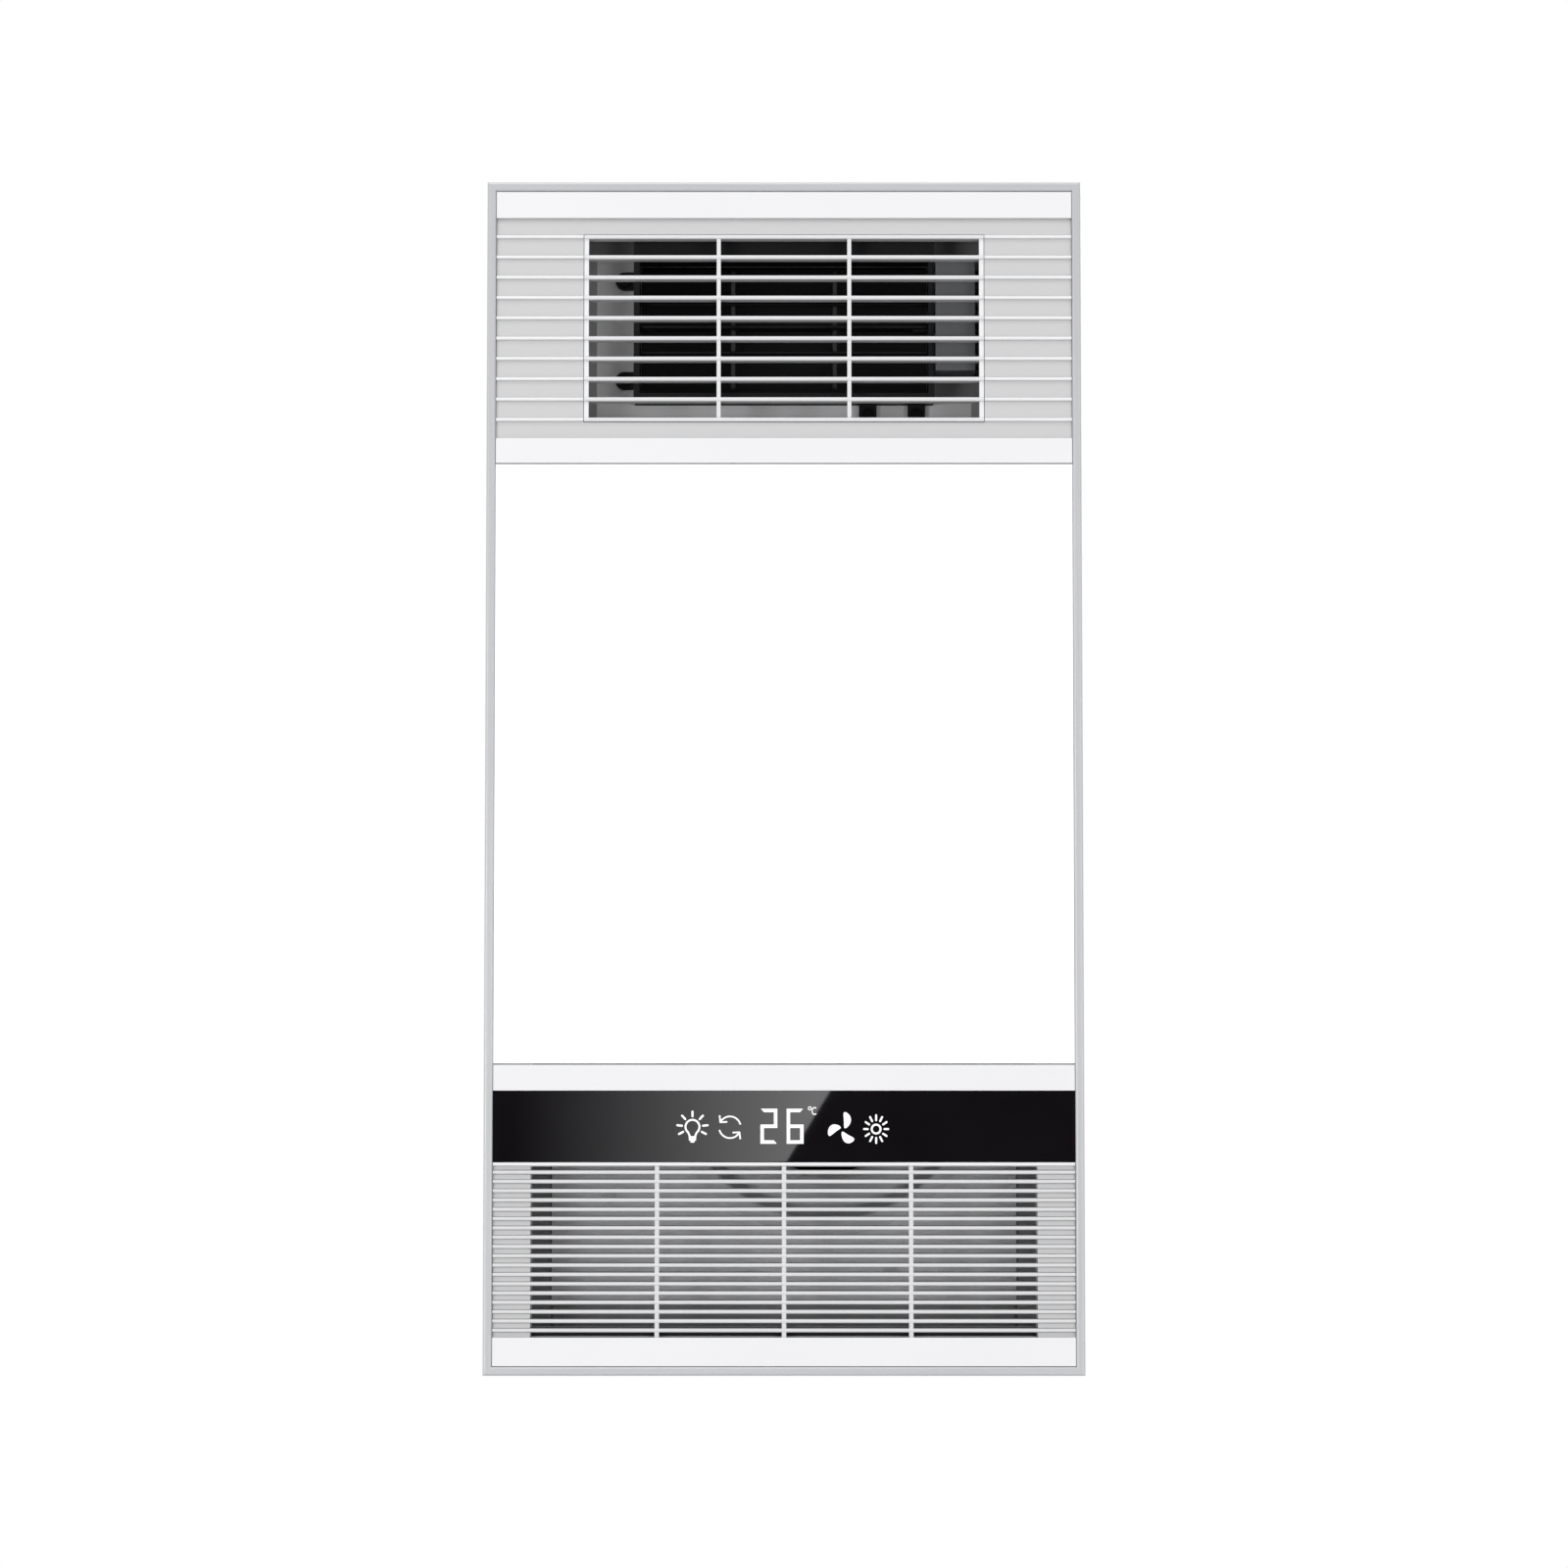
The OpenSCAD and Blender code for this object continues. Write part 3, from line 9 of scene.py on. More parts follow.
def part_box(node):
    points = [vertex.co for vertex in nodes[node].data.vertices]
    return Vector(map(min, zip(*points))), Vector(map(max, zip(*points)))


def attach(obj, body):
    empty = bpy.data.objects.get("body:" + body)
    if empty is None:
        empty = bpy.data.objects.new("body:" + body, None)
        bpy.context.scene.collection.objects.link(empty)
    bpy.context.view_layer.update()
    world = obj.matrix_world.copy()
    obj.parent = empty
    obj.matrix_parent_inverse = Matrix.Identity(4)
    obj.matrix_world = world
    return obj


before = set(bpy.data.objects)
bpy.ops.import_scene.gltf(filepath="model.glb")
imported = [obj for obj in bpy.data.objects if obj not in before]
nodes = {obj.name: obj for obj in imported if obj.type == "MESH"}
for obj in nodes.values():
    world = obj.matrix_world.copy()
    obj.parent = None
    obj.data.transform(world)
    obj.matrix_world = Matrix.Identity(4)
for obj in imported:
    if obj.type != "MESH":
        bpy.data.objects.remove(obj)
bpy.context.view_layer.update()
MM = 0.001


def add_object(name, data):
    made = bpy.data.objects.new(name, data)
    bpy.context.scene.collection.objects.link(made)
    return made


# Camera: straight up at the face, tilted a little so that the intake end is nearer
DISTANCE = 2.0
TILT = math.radians(3.3)
PX_PER_MM = 2.0336      # the face in the photograph
IMAGE_PX = 1600
SENSOR = 36.0
AIM = Vector((0, 0.005, -0.022))


def place_camera():
    camera = bpy.data.cameras.new("camera")
    camera.sensor_width = SENSOR
    camera.lens = PX_PER_MM * DISTANCE / MM * SENSOR / IMAGE_PX
    camera.clip_end = 50
    seat = add_object("camera", camera)
    back = Vector((0, math.sin(TILT), -math.cos(TILT)))
    right = Vector((1, 0, 0))
    turn = Matrix((right, back.cross(right), back)).transposed().to_4x4()
    seat.matrix_world = Matrix.Translation(AIM + back * DISTANCE) @ turn
    bpy.context.scene.camera = seat


place_camera()


# Shader building
class Wire:
    """A socket in a material's tree that takes part in sums."""

    def __init__(self, finish, socket):
        self.finish = finish
        self.socket = socket

    def _math(self, operation, *values, clamp=False):
        settings = {"operation": operation, "use_clamp": clamp}
        return self.finish.node("ShaderNodeMath", settings, list(values))

    def __add__(self, other):
        return self._math("ADD", self, other)

    def __sub__(self, other):
        return self._math("SUBTRACT", self, other)

    def __rsub__(self, other):
        return self._math("SUBTRACT", other, self)

    def __mul__(self, other):
        return self._math("MULTIPLY", self, other)

    def __lt__(self, other):
        return self._math("LESS_THAN", self, other)

    def __gt__(self, other):
        return self._math("GREATER_THAN", self, other)

    def root(self):
        return self._math("SQRT", self)

    def clamped_power(self, exponent):
        return self._math("POWER", self, exponent, clamp=True)

    __radd__ = __add__


class Finish:
    """A material with its Principled shader and the nodes that feed it."""

    def __init__(self, name, colour, roughness, metallic=0.0, **constants):
        self.material = bpy.data.materials.new(name)
        self.material.use_nodes = True
        self.tree = self.material.node_tree
        self.shader = self.tree.nodes["Principled BSDF"]
        self.set("Base Color", (*colour, 1.0))
        self.set("Roughness", roughness)
        self.set("Metallic", metallic)
        for socket, value in constants.items():
            self.set(socket.replace("_", " "), value)

    def set(self, socket, value):
        """Sets a socket of the shader, or links a wire to it."""
        self._feed(self.shader, socket, value)

    def _feed(self, node, key, value):
        if isinstance(value, Wire):
            self.tree.links.new(value.socket, node.inputs[key])
        else:
            node.inputs[key].default_value = value

    def node(self, kind, settings=None, sockets=None, output=0):
        """Adds a node: its settings first, then its sockets by place or by name."""
        made = self.tree.nodes.new(kind)
        for name, value in (settings or {}).items():
            setattr(made, name, value)
        if isinstance(sockets, list):
            sockets = dict(enumerate(sockets))
        for key, value in (sockets or {}).items():
            self._feed(made, key, value)
        return Wire(self, made.outputs[output])

    def place(self):
        """Object coordinates, in metres."""
        return self.node("ShaderNodeTexCoord", output="Object")

    def axis(self, letter):
        return self.node("ShaderNodeSeparateXYZ", None, [self.place()], output=letter)

    def facing(self, letter):
        """One axis of the way that the surface faces."""
        normal = self.node("ShaderNodeNewGeometry", output="Normal")
        return self.node("ShaderNodeSeparateXYZ", None, [normal], output=letter)

    def noise(self, scale, detail, stretch=(1, 1, 1)):
        at = self.node("ShaderNodeMapping", None, {"Vector": self.place(), "Scale": stretch})
        sockets = {"Vector": at, "Scale": scale, "Detail": detail}
        return self.node("ShaderNodeTexNoise", None, sockets)

    def cells(self, scale):
        """Random grey per cell of a Voronoi pattern."""
        sockets = {"Vector": self.place(), "Scale": scale}
        cell = self.node("ShaderNodeTexVoronoi", None, sockets, output="Color")
        return self.node("ShaderNodeSeparateColor", None, [cell])

    def band(self, value, low, high):
        """1 between low and high, 0 outside."""
        return (value > low) * (value < high)

    def ramp(self, value, low, high):
        """Rises evenly from 0 at low to 1 at high."""
        sockets = {"Value": value, "From Min": low, "From Max": high}
        return self.node("ShaderNodeMapRange", None, sockets)

    def blend(self, factor, first, second):
        """Mixes two colours; a Mix node keeps its colours in sockets 6 and 7 and output 2."""
        sockets = {0: factor, 6: self._colour(first), 7: self._colour(second)}
        return self.node("ShaderNodeMix", {"data_type": "RGBA"}, sockets, output=2)

    @staticmethod
    def _colour(value):
        return value if isinstance(value, Wire) else (*value, 1.0)

    def bump(self, height, depth, strength):
        sockets = {"Height": height, "Distance": depth, "Strength": strength}
        self.set("Normal", self.node("ShaderNodeBump", None, sockets))


def srgb(value):
    """A colour channel, or a grey, given as it shows on screen from 0 to 255."""
    channel = value / 255
    return channel / 12.92 if channel <= 0.04045 else ((channel + 0.055) / 1.055) ** 2.4


def shade(red, green=None, blue=None):
    return (srgb(red), srgb(red if green is None else green), srgb(red if blue is None else blue))


# Finishes
FACE_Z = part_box("light_diffuser")[0].z
RECESS_Z = FACE_Z + 1.6 * MM        # recessed faces of the surround and the intake grille


def anodised(name, along):
    """Silver-grey anodised extrusion with fine lines along its length."""
    finish = Finish(name, shade(206, 207, 209), roughness=0.42, metallic=0.35)
    stretch = (1, 0.02, 1) if along == "Y" else (0.02, 1, 1)
    lines = finish.noise(scale=900, detail=2, stretch=stretch)
    cloud = finish.noise(scale=6, detail=2)
    mottle = lines * 0.5 + cloud * 0.5
    finish.set("Base Color", finish.blend(mottle, shade(198, 199, 202), shade(214, 215, 217)))
    finish.set("Roughness", 0.34 + lines * 0.16)
    finish.bump(lines, depth=0.02 * MM, strength=0.4)
    return finish.material


def white_moulding(name, grey_faces, sides, edge=-0.85, nose=None):
    """Satin white plastic, grey on recessed faces and slats' noses, with painted shade on upright
    faces.

    grey_faces is the grey of the recessed faces and nose that of the slats' noses, if any.
    sides is the grey of the painted shade on upright faces. It starts to show where the Z of
    the way that a face looks, -1 for straight down, passes edge.
    """
    finish = Finish(name, shade(248, 248, 250), roughness=0.38, IOR=1.5)
    grain = finish.noise(scale=1400, detail=2)
    cloud = finish.noise(scale=9, detail=3)
    colour = finish.blend(cloud, shade(246, 246, 249), shade(251, 251, 252))
    if nose:
        at_nose = finish.band(finish.axis("Z"), FACE_Z + 0.1 * MM, FACE_Z + 1 * MM)
        colour = finish.blend(at_nose, colour, shade(nose, nose, nose + 2))
    if grey_faces:
        level = finish.band(finish.axis("Z"), RECESS_Z - 0.5 * MM, RECESS_Z + 1.2 * MM)
        recessed = level * (finish.facing("Z") < -0.6)
        darker_grey = shade(grey_faces - 2, grey_faces - 2, grey_faces)
        grey = finish.blend(cloud, darker_grey, shade(grey_faces + 2))
        colour = finish.blend(recessed, colour, grey)
    # Painted shade: faces that turn away from straight down are greyed towards sides
    down = finish.facing("Z")
    painted_shade_mask = finish.ramp(down, edge, edge + 0.4) * (down < 0.5)
    finish.set("Base Color", finish.blend(painted_shade_mask, colour, shade(sides)))
    finish.set("Roughness", 0.32 + grain * 0.14)
    finish.bump(grain, depth=0.03 * MM, strength=0.35)
    return finish.material


def opal(name):
    """Opal diffuser, lit evenly from behind."""
    glow = {"Emission_Color": (1, 1, 1, 1), "Emission_Strength": 0.2}
    finish = Finish(name, shade(252), roughness=0.3, **glow)
    cloud = finish.noise(scale=5, detail=2)
    grain = finish.noise(scale=2500, detail=1)
    finish.set("Base Color", finish.blend(cloud, shade(250, 250, 251), shade(253)))
    finish.set("Roughness", 0.26 + grain * 0.1)
    finish.bump(grain, depth=0.01 * MM, strength=0.3)
    return finish.material


def gloss_black(name):
    finish = Finish(name, shade(20, 18, 21), roughness=0.05, IOR=1.5)
    grain = finish.noise(scale=40, detail=2)
    finish.set("Base Color", finish.blend(grain, shade(17, 15, 18), shade(23, 21, 24)))
    finish.set("Roughness", 0.012 + grain * 0.008)
    return finish.material


def printed_white(name):
    """White pigment with a faint glow, as of signs lit from behind."""
    glow = {"Emission_Color": (1, 1, 1, 1), "Emission_Strength": 0.25}
    finish = Finish(name, shade(250), roughness=0.5, **glow)
    grain = finish.noise(scale=900, detail=2)
    finish.set("Base Color", finish.blend(grain, shade(244, 244, 247), shade(252)))
    return finish.material


def galvanised(name, dark=176, light=202):
    """Zinc-coated sheet: a spangle of soft crystals on a faint grain."""
    finish = Finish(name, shade(190), roughness=0.4, metallic=0.75)
    crystals = finish.cells(140) * 0.45 + finish.cells(320) * 0.3
    crystals += finish.noise(scale=14, detail=3) * 0.25
    dark_zinc = shade(dark, dark + 1, dark + 4)
    light_zinc = shade(light, light + 1, light + 3)
    finish.set("Base Color", finish.blend(crystals, dark_zinc, light_zinc))
    finish.set("Roughness", 0.3 + crystals * 0.22)
    finish.bump(finish.noise(scale=500, detail=3), depth=0.02 * MM, strength=0.3)
    return finish.material


def bright_metal(name, grey, roughness):
    finish = Finish(name, shade(grey), roughness, metallic=1.0)
    grain = finish.noise(scale=300, detail=3)
    finish.set("Base Color", finish.blend(grain, shade(grey - 8), shade(grey + 8)))
    finish.set("Roughness", roughness + grain * 0.12)
    return finish.material


LOUVRE_REACH = 8 * MM       # how far the louvre's screws lie beyond its frame


def screw_finish(name):
    """Zinc-plated screws, blackened where they hold the louvre."""
    louvre_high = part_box("louvre_frame")[1]
    finish = Finish(name, shade(188), roughness=0.28, metallic=1.0)
    grain = finish.noise(scale=300, detail=3)
    at_louvre = finish.axis("Y") < louvre_high.y + LOUVRE_REACH
    at_louvre *= finish.axis("Z") < louvre_high.z + 1 * MM
    bright = finish.blend(grain, shade(180), shade(196))
    finish.set("Base Color", finish.blend(at_louvre, bright, shade(26)))
    finish.set("Roughness", 0.28 + grain * 0.12)
    return finish.material


def plastic(name, low, high, roughness, grain_scale=1100, sheen=0.5):
    """Moulded plastic with an eroded grain; low and high are its colour's ends."""
    finish = Finish(name, low, roughness, Specular_IOR_Level=sheen)
    grain = finish.noise(grain_scale, detail=2)
    cloud = finish.noise(scale=20, detail=3)
    finish.set("Base Color", finish.blend(cloud, low, high))
    finish.set("Roughness", roughness + grain * 0.15)
    finish.bump(grain, depth=0.04 * MM, strength=0.5)
    return finish.material


def bell_mouth(name):
    """Light grey inlet ring with a band of painted shade round the outer part of its curve, near
    its flange.
    """
    low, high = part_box("inlet_ring")
    finish = Finish(name, shade(220), roughness=0.45)
    x = finish.axis("X") - (low.x + high.x) / 2
    y = finish.axis("Y") - (low.y + high.y) / 2
    away = (x * x + y * y).root()
    rim = (high.x - low.x) / 2
    # Painted shade: a darker band where the ring curves, between 17 and 7 mm inside its rim
    darker = finish.ramp(away, rim - 17 * MM, rim - 13 * MM)
    darker *= 1 - finish.ramp(away, rim - 9 * MM, rim - 7 * MM)
    cloud = finish.noise(scale=30, detail=3)
    light = finish.blend(cloud, shade(222, 222, 224), shade(234, 234, 236))
    finish.set("Base Color", finish.blend(darker, light, shade(138, 138, 141)))
    finish.set("Roughness", 0.38 + cloud * 0.12)
    return finish.material


def circuit_board(name):
    """Green board with a patchwork of lighter and darker copper areas."""
    finish = Finish(name, shade(30, 90, 58), roughness=0.35)
    areas = finish.cells(260)
    finish.set("Base Color", finish.blend(areas, shade(24, 78, 50), shade(44, 108, 70)))
    finish.set("Roughness", 0.3 + areas * 0.15)
    return finish.material


galvanised_sheet = galvanised("galvanised_sheet")
white_pigment = printed_white("printed_white")
zinc = bright_metal("zinc", 188, 0.28)

FINISH_OF = {
    anodised("anodised_side", "Y"): ["left_side_rail", "right_side_rail"],
    anodised("anodised_end", "X"): ["outlet_end_rail", "intake_end_rail"],
    # White mouldings: name, recessed grey, then the grey of painted shade on upright faces
    white_moulding("outlet_moulding", 215, 196): ["outlet_surround"],
    white_moulding("intake_moulding", 215, 126, nose=230): ["intake_grille"],
    white_moulding("grille_moulding", None, 194, edge=-0.5, nose=238): ["outlet_grille"],
    white_moulding("bezel_moulding", None, 196): ["display_bezel"],
    opal("opal_diffuser"): ["light_diffuser"],
    gloss_black("black_window"): ["display_window"],
    galvanised_sheet: ["housing", "hanger_ears", "lid_hangers", "wiring_cover"],
    galvanised("duct_sheet", 182, 210): [
        "scroll_wall", "scroll_lid", "exhaust_branch", "changeover_damper",
    ],
    # Painted shade: the duct's walls and lid are dark grey for the shade deep in the outlet duct
    plastic("painted_duct_shade", shade(44, 44, 46), shade(56, 56, 58), 0.6, sheen=0.15): [
        "duct_walls", "duct_lid",
    ],
    plastic("coated_deck", shade(238, 238, 240), shade(248, 248, 250), 0.5): [
        "fan_deck", "duct_floor",
    ],
    plastic("motor_cover_grey", shade(88, 89, 92), shade(100, 101, 104), 0.5): [
        "vane_motor_cover",
    ],
    plastic("clear_guide", shade(232, 240, 242), shade(240, 246, 248), 0.1): ["light_guide"],
    plastic("coated_sheet", shade(214, 215, 218), shade(226, 227, 229), 0.45): [
        "light_back_plate", "control_box", "control_box_lid",
    ],
    bright_metal("spring_steel", 186, 0.3): ["panel_spring_clips", "corner_keys"],
    circuit_board("green_board"): ["display_board", "control_board"],
    plastic("driver_case", shade(228, 226, 220), shade(238, 236, 231), 0.5): [
        "led_driver", "terminal_block", "thermal_cutout", "led_strips",
    ],
    zinc: ["panel_screws", "wheel_nut", "flap_pin", "motor_shaft"],
    screw_finish("screw_zinc"): ["chassis_screws"],
    bell_mouth("inlet_bell_mouth"): ["inlet_ring"],
    plastic("wheel_grey", shade(30, 31, 33), shade(42, 43, 45), 0.5): ["fan_wheel"],
    plastic("collar_grey", shade(150, 151, 154), shade(164, 165, 168), 0.5): [
        "exhaust_spigot",
    ],
    bright_metal("motor_steel", 150, 0.4): ["fan_motor", "damper_motor", "vane_motor"],
    plastic("black_plastic", shade(22, 22, 24), shade(32, 32, 34), 0.4): [
        "run_capacitor", "heater_frame", "cable_gland", "display_led_block",
    ],
    plastic("louvre_black", shade(26, 26, 28), shade(34, 34, 36), 0.45, sheen=0.15): [
        "louvre_frame", *[f"louvre_vane_{i}" for i in range(1, 6)],
    ],
    plastic("link_grey", shade(38, 38, 40), shade(46, 46, 48), 0.45): ["vane_link"],
    plastic("heater_tan", shade(196, 160, 120), shade(212, 180, 142), 0.6): ["ptc_elements"],
    bright_metal("fin_aluminium", 196, 0.3): ["heater_fins"],
    plastic("flap_white", shade(226, 227, 229), shade(236, 237, 238), 0.45): [
        "backdraft_flap",
    ],
}


def dress_nodes():
    for material, names in FINISH_OF.items():
        for name in names:
            mesh = nodes[name].data
            mesh.materials.clear()
            mesh.materials.append(material)


dress_nodes()


# Pieces
def add_piece(name, mesh, body):
    """Adds a mesh as a piece of the object that moves with a body."""
    piece = add_object(name, mesh)
    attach(piece, body)


class Work:
    """A mesh that grows shape by shape and ends as a piece."""

    def __init__(self):
        self.mesh = bmesh.new()

    def make_piece(self, name, body, slot, material):
        data = bpy.data.meshes.new(name)
        self.mesh.to_mesh(data)
        self.mesh.free()
        data.materials.append(material)
        add_piece(name, data, body)


# What repeats: Geometry Nodes trees with named sizes, each run once into a plain mesh
class Recipe:
    """A Geometry Nodes tree that sets a small shape on every place of a list."""

    def __init__(self, name, **sizes):
        self.tree = bpy.data.node_groups.new(name, "GeometryNodeTree")
        self.sizes = sizes
        self._open("Places", "INPUT", "NodeSocketGeometry")
        self.keys = {title: self._open(title, "INPUT", "NodeSocketFloat") for title in sizes}
        self._open("Shape", "OUTPUT", "NodeSocketGeometry")
        self.given = self.node("NodeGroupInput")

    def _open(self, title, way, kind):
        """Adds a socket of the tree and gives the key that a modifier knows it by."""
        made = self.tree.interface.new_socket(title, in_out=way, socket_type=kind)
        return made.identifier

    def node(self, kind, sockets=None, **settings):
        """Adds a node: its settings first, then links or values by socket name or place."""
        made = self.tree.nodes.new(kind)
        for name, value in settings.items():
            setattr(made, name, value)
        for key, value in (sockets or {}).items():
            if isinstance(value, bpy.types.NodeSocket):
                self.tree.links.new(value, made.inputs[key])
            else:
                made.inputs[key].default_value = value
        return made

    def output(self, kind, sockets=None, **settings):
        """Adds a node and gives what comes out of it."""
        return self.node(kind, sockets, **settings).outputs[0]

    def size(self, title):
        return self.given.outputs[title]

    def times(self, first, second):
        return self.output("ShaderNodeMath", {0: first, 1: second}, operation="MULTIPLY")

    def vector(self, x, y, z):
        return self.output("ShaderNodeCombineXYZ", {"X": x, "Y": y, "Z": z})

    def changed(self, shape, **sockets):
        """The shape moved by Translation or stretched by Scale."""
        return self.output("GeometryNodeTransform", {"Geometry": shape, **sockets})

    def joined(self, *shapes):
        join = self.node("GeometryNodeJoinGeometry")
        for shape in shapes:
            self.tree.links.new(shape, join.inputs[0])
        return join.outputs[0]

    def set_on_places(self, shape, material):
        """Stands the shape on every place, its height along the place's facing."""
        facing = self.output(
            "GeometryNodeInputNamedAttribute", {"Name": "facing"}, data_type="FLOAT_VECTOR")
        turn = self.output("FunctionNodeAlignRotationToVector", {"Vector": facing}, axis="Z")
        stood = self.output(
            "GeometryNodeInstanceOnPoints",
            {"Points": self.size("Places"), "Instance": shape, "Rotation": turn})
        real = self.output("GeometryNodeRealizeInstances", {"Geometry": stood})
        coated = self.output("GeometryNodeSetMaterial", {"Geometry": real, "Material": material})
        self.node("NodeGroupOutput", {"Shape": coated})

    def build(self, name, places, **other_sizes):
        """Runs the tree on places, a list of (point, facing), and gives the plain mesh."""
        seeds = bpy.data.meshes.new(name + "_places")
        seeds.from_pydata([place for place, facing in places], [], [])
        attribute = seeds.attributes.new("facing", "FLOAT_VECTOR", "POINT")
        for row, (place, facing) in zip(attribute.data, places):
            row.vector = facing
        holder = add_object(name + "_places", seeds)
        step = holder.modifiers.new("recipe", "NODES")
        step.node_group = self.tree
        for title, value in {**self.sizes, **other_sizes}.items():
            step[self.keys[title]] = value
        ready = holder.evaluated_get(bpy.context.evaluated_depsgraph_get())
        mesh = bpy.data.meshes.new_from_object(ready)
        mesh.name = name
        bpy.data.objects.remove(holder)
        return mesh


def blind_rivets(material):
    """Domed rivet heads with the pulled pin in the middle."""
    recipe = Recipe("blind_rivets", Radius=2.4 * MM, Height=1.1 * MM)
    radius, height = recipe.size("Radius"), recipe.size("Height")
    ball = recipe.output("GeometryNodeMeshUVSphere", {"Segments": 16, "Rings": 8, "Radius": 1.0})
    dome = recipe.changed(ball, Scale=recipe.vector(radius, radius, height))
    collar, pin = (
        recipe.output(
            "GeometryNodeMeshCylinder",
            {"Vertices": sides, "Radius": recipe.times(radius, wide),
             "Depth": recipe.times(height, deep)})
        for sides, wide, deep in ((16, 1.12, 0.35), (10, 0.3, 2.3))
    )
    recipe.set_on_places(recipe.joined(dome, collar, pin), material)
    return recipe


def cross_screws(material):
    """Screw heads with a cut cross recess, a cap on the plain heads of the model."""
    recipe = Recipe("cross_screws", Radius=2.6 * MM, Height=0.7 * MM)
    radius, height = recipe.size("Radius"), recipe.size("Height")
    head = recipe.output(
        "GeometryNodeMeshCylinder", {"Vertices": 20, "Radius": radius, "Depth": height})
    for wide, deep in ((1.15, 0.26), (0.26, 1.15)):
        size = recipe.vector(recipe.times(radius, wide), recipe.times(radius, deep), height)
        slot = recipe.output("GeometryNodeMeshCube", {"Size": size})
        rise = recipe.vector(0, 0, recipe.times(height, 0.35))
        slot = recipe.changed(slot, Translation=rise)
        head = recipe.output(
            "GeometryNodeMeshBoolean", {"Mesh 1": head, "Mesh 2": slot},
            operation="DIFFERENCE", solver="EXACT")
    recipe.set_on_places(head, material)
    return recipe


def spot_welds(material):
    """Low rings, as spot welds leave in sheet."""
    recipe = Recipe("spot_welds", Radius=2.2 * MM, Height=0.25 * MM)
    lip, wire = (
        recipe.output("GeometryNodeCurvePrimitiveCircle", {"Resolution": count, "Radius": radius})
        for count, radius in ((20, recipe.size("Radius")), (6, recipe.size("Height")))
    )
    ring = recipe.output("GeometryNodeCurveToMesh", {"Curve": lip, "Profile Curve": wire})
    recipe.set_on_places(ring, material)
    return recipe


def screw_heads(name):
    """Top centre and facing of every pan head in a node of loose screws."""
    work = bmesh.new()
    work.from_mesh(nodes[name].data)
    bmesh.ops.remove_doubles(work, verts=work.verts, dist=0.01 * MM)
    heads, seen = [], set()
    for start in work.verts:
        if start in seen:
            continue
        screw, edge_of_screw = [], [start]
        seen.add(start)
        while edge_of_screw:
            vert = edge_of_screw.pop()
            screw.append(vert.co)
            for edge in vert.link_edges:
                other = edge.other_vert(vert)
                if other not in seen:
                    seen.add(other)
                    edge_of_screw.append(other)
        heads.append(head_top(screw))
    work.free()
    return heads


def head_top(points):
    """The middle of the flat top of one screw, and the way it faces.

    The screw lies along the axis on which its size is least like the other two. Its head
    is at the end whose rim is as wide as the whole screw.
    """
    low = Vector([min(point[i] for point in points) for i in range(3)])
    high = Vector([max(point[i] for point in points) for i in range(3)])
    middle, size = (low + high) / 2, high - low
    *others, along = sorted(
        range(3), key=lambda i: min(abs(size[i] - size[j]) for j in range(3) if j != i))
    width = max(size[i] for i in others)
    for side, level in ((-1, low[along]), (1, high[along])):
        rim = [point for point in points if abs(point[along] - level) < 0.05 * MM]
        reach = max((point - middle)[i] for point in rim for i in others)
        if reach > 0.45 * width:
            top, facing = middle.copy(), Vector((0, 0, 0))
            top[along], facing[along] = level, side
            return top, facing
    raise ValueError("no head found on a screw")


# Sheet-metal trim of the housing
HOUSING_LOW, HOUSING_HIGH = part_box("housing")
SIDES = ((-1, HOUSING_LOW.x), (1, HOUSING_HIGH.x))      # the way out, and the wall's outer face
ENDS = ((-1, HOUSING_LOW.y), (1, HOUSING_HIGH.y))
TOP_Z = HOUSING_HIGH.z - 1.2 * MM                       # top sheet, below its pressed ribs
LAP_THICKNESS = 0.7 * MM
LAP_WIDTH = 13 * MM
LAP_RIVET_LEVELS = (14, 50, 86, 122)                    # mm above the housing's lower edge
SEAM_THICKNESS = 0.6 * MM
SEAM_WELDS = 12
WELD_STEP = 47.5 * MM
EAR_HALF_WIDTH = 16 * MM
EAR_THICKNESS = 2 * MM
EAR_RIVET_LEVELS = (12, 26)                             # mm above the ears' lower faces


class Sheets(Work):
    """Thin plates with softened edges, gathered in one mesh."""

    def plate(self, corner, opposite):
        """A plate between two opposite corners, in either order."""
        made = bmesh.ops.create_cube(self.mesh, size=1)
        size = [abs(b - a) for a, b in zip(corner, opposite)]
        middle = [(a + b) / 2 for a, b in zip(corner, opposite)]
        bmesh.ops.scale(self.mesh, vec=size, verts=made["verts"])
        bmesh.ops.translate(self.mesh, vec=middle, verts=made["verts"])
        edges = list({edge for vert in made["verts"] for edge in vert.link_edges})
        bmesh.ops.bevel(
            self.mesh, geom=edges, offset=min(size) * 0.3, segments=2, profile=0.6,
            affect="EDGES")


def build_corner_laps():
    """Flanges of the end walls lapped over the side walls; gives the places of their rivets."""
    laps, rivets = Sheets(), []
    for side, face in SIDES:
        for end, wall in ENDS:
            lap_x, lap_y = face + side * LAP_THICKNESS, wall - end * LAP_WIDTH
            laps.plate((face, wall, HOUSING_LOW.z + 1 * MM), (lap_x, lap_y, TOP_Z - 1 * MM))
            for level in LAP_RIVET_LEVELS:
                place = (lap_x, wall - end * LAP_WIDTH / 2, HOUSING_LOW.z + level * MM)
                rivets.append((place, (side, 0, 0)))
    laps.make_piece("corner_laps", "chassis", "galvanised_steel", galvanised_sheet)
    return rivets


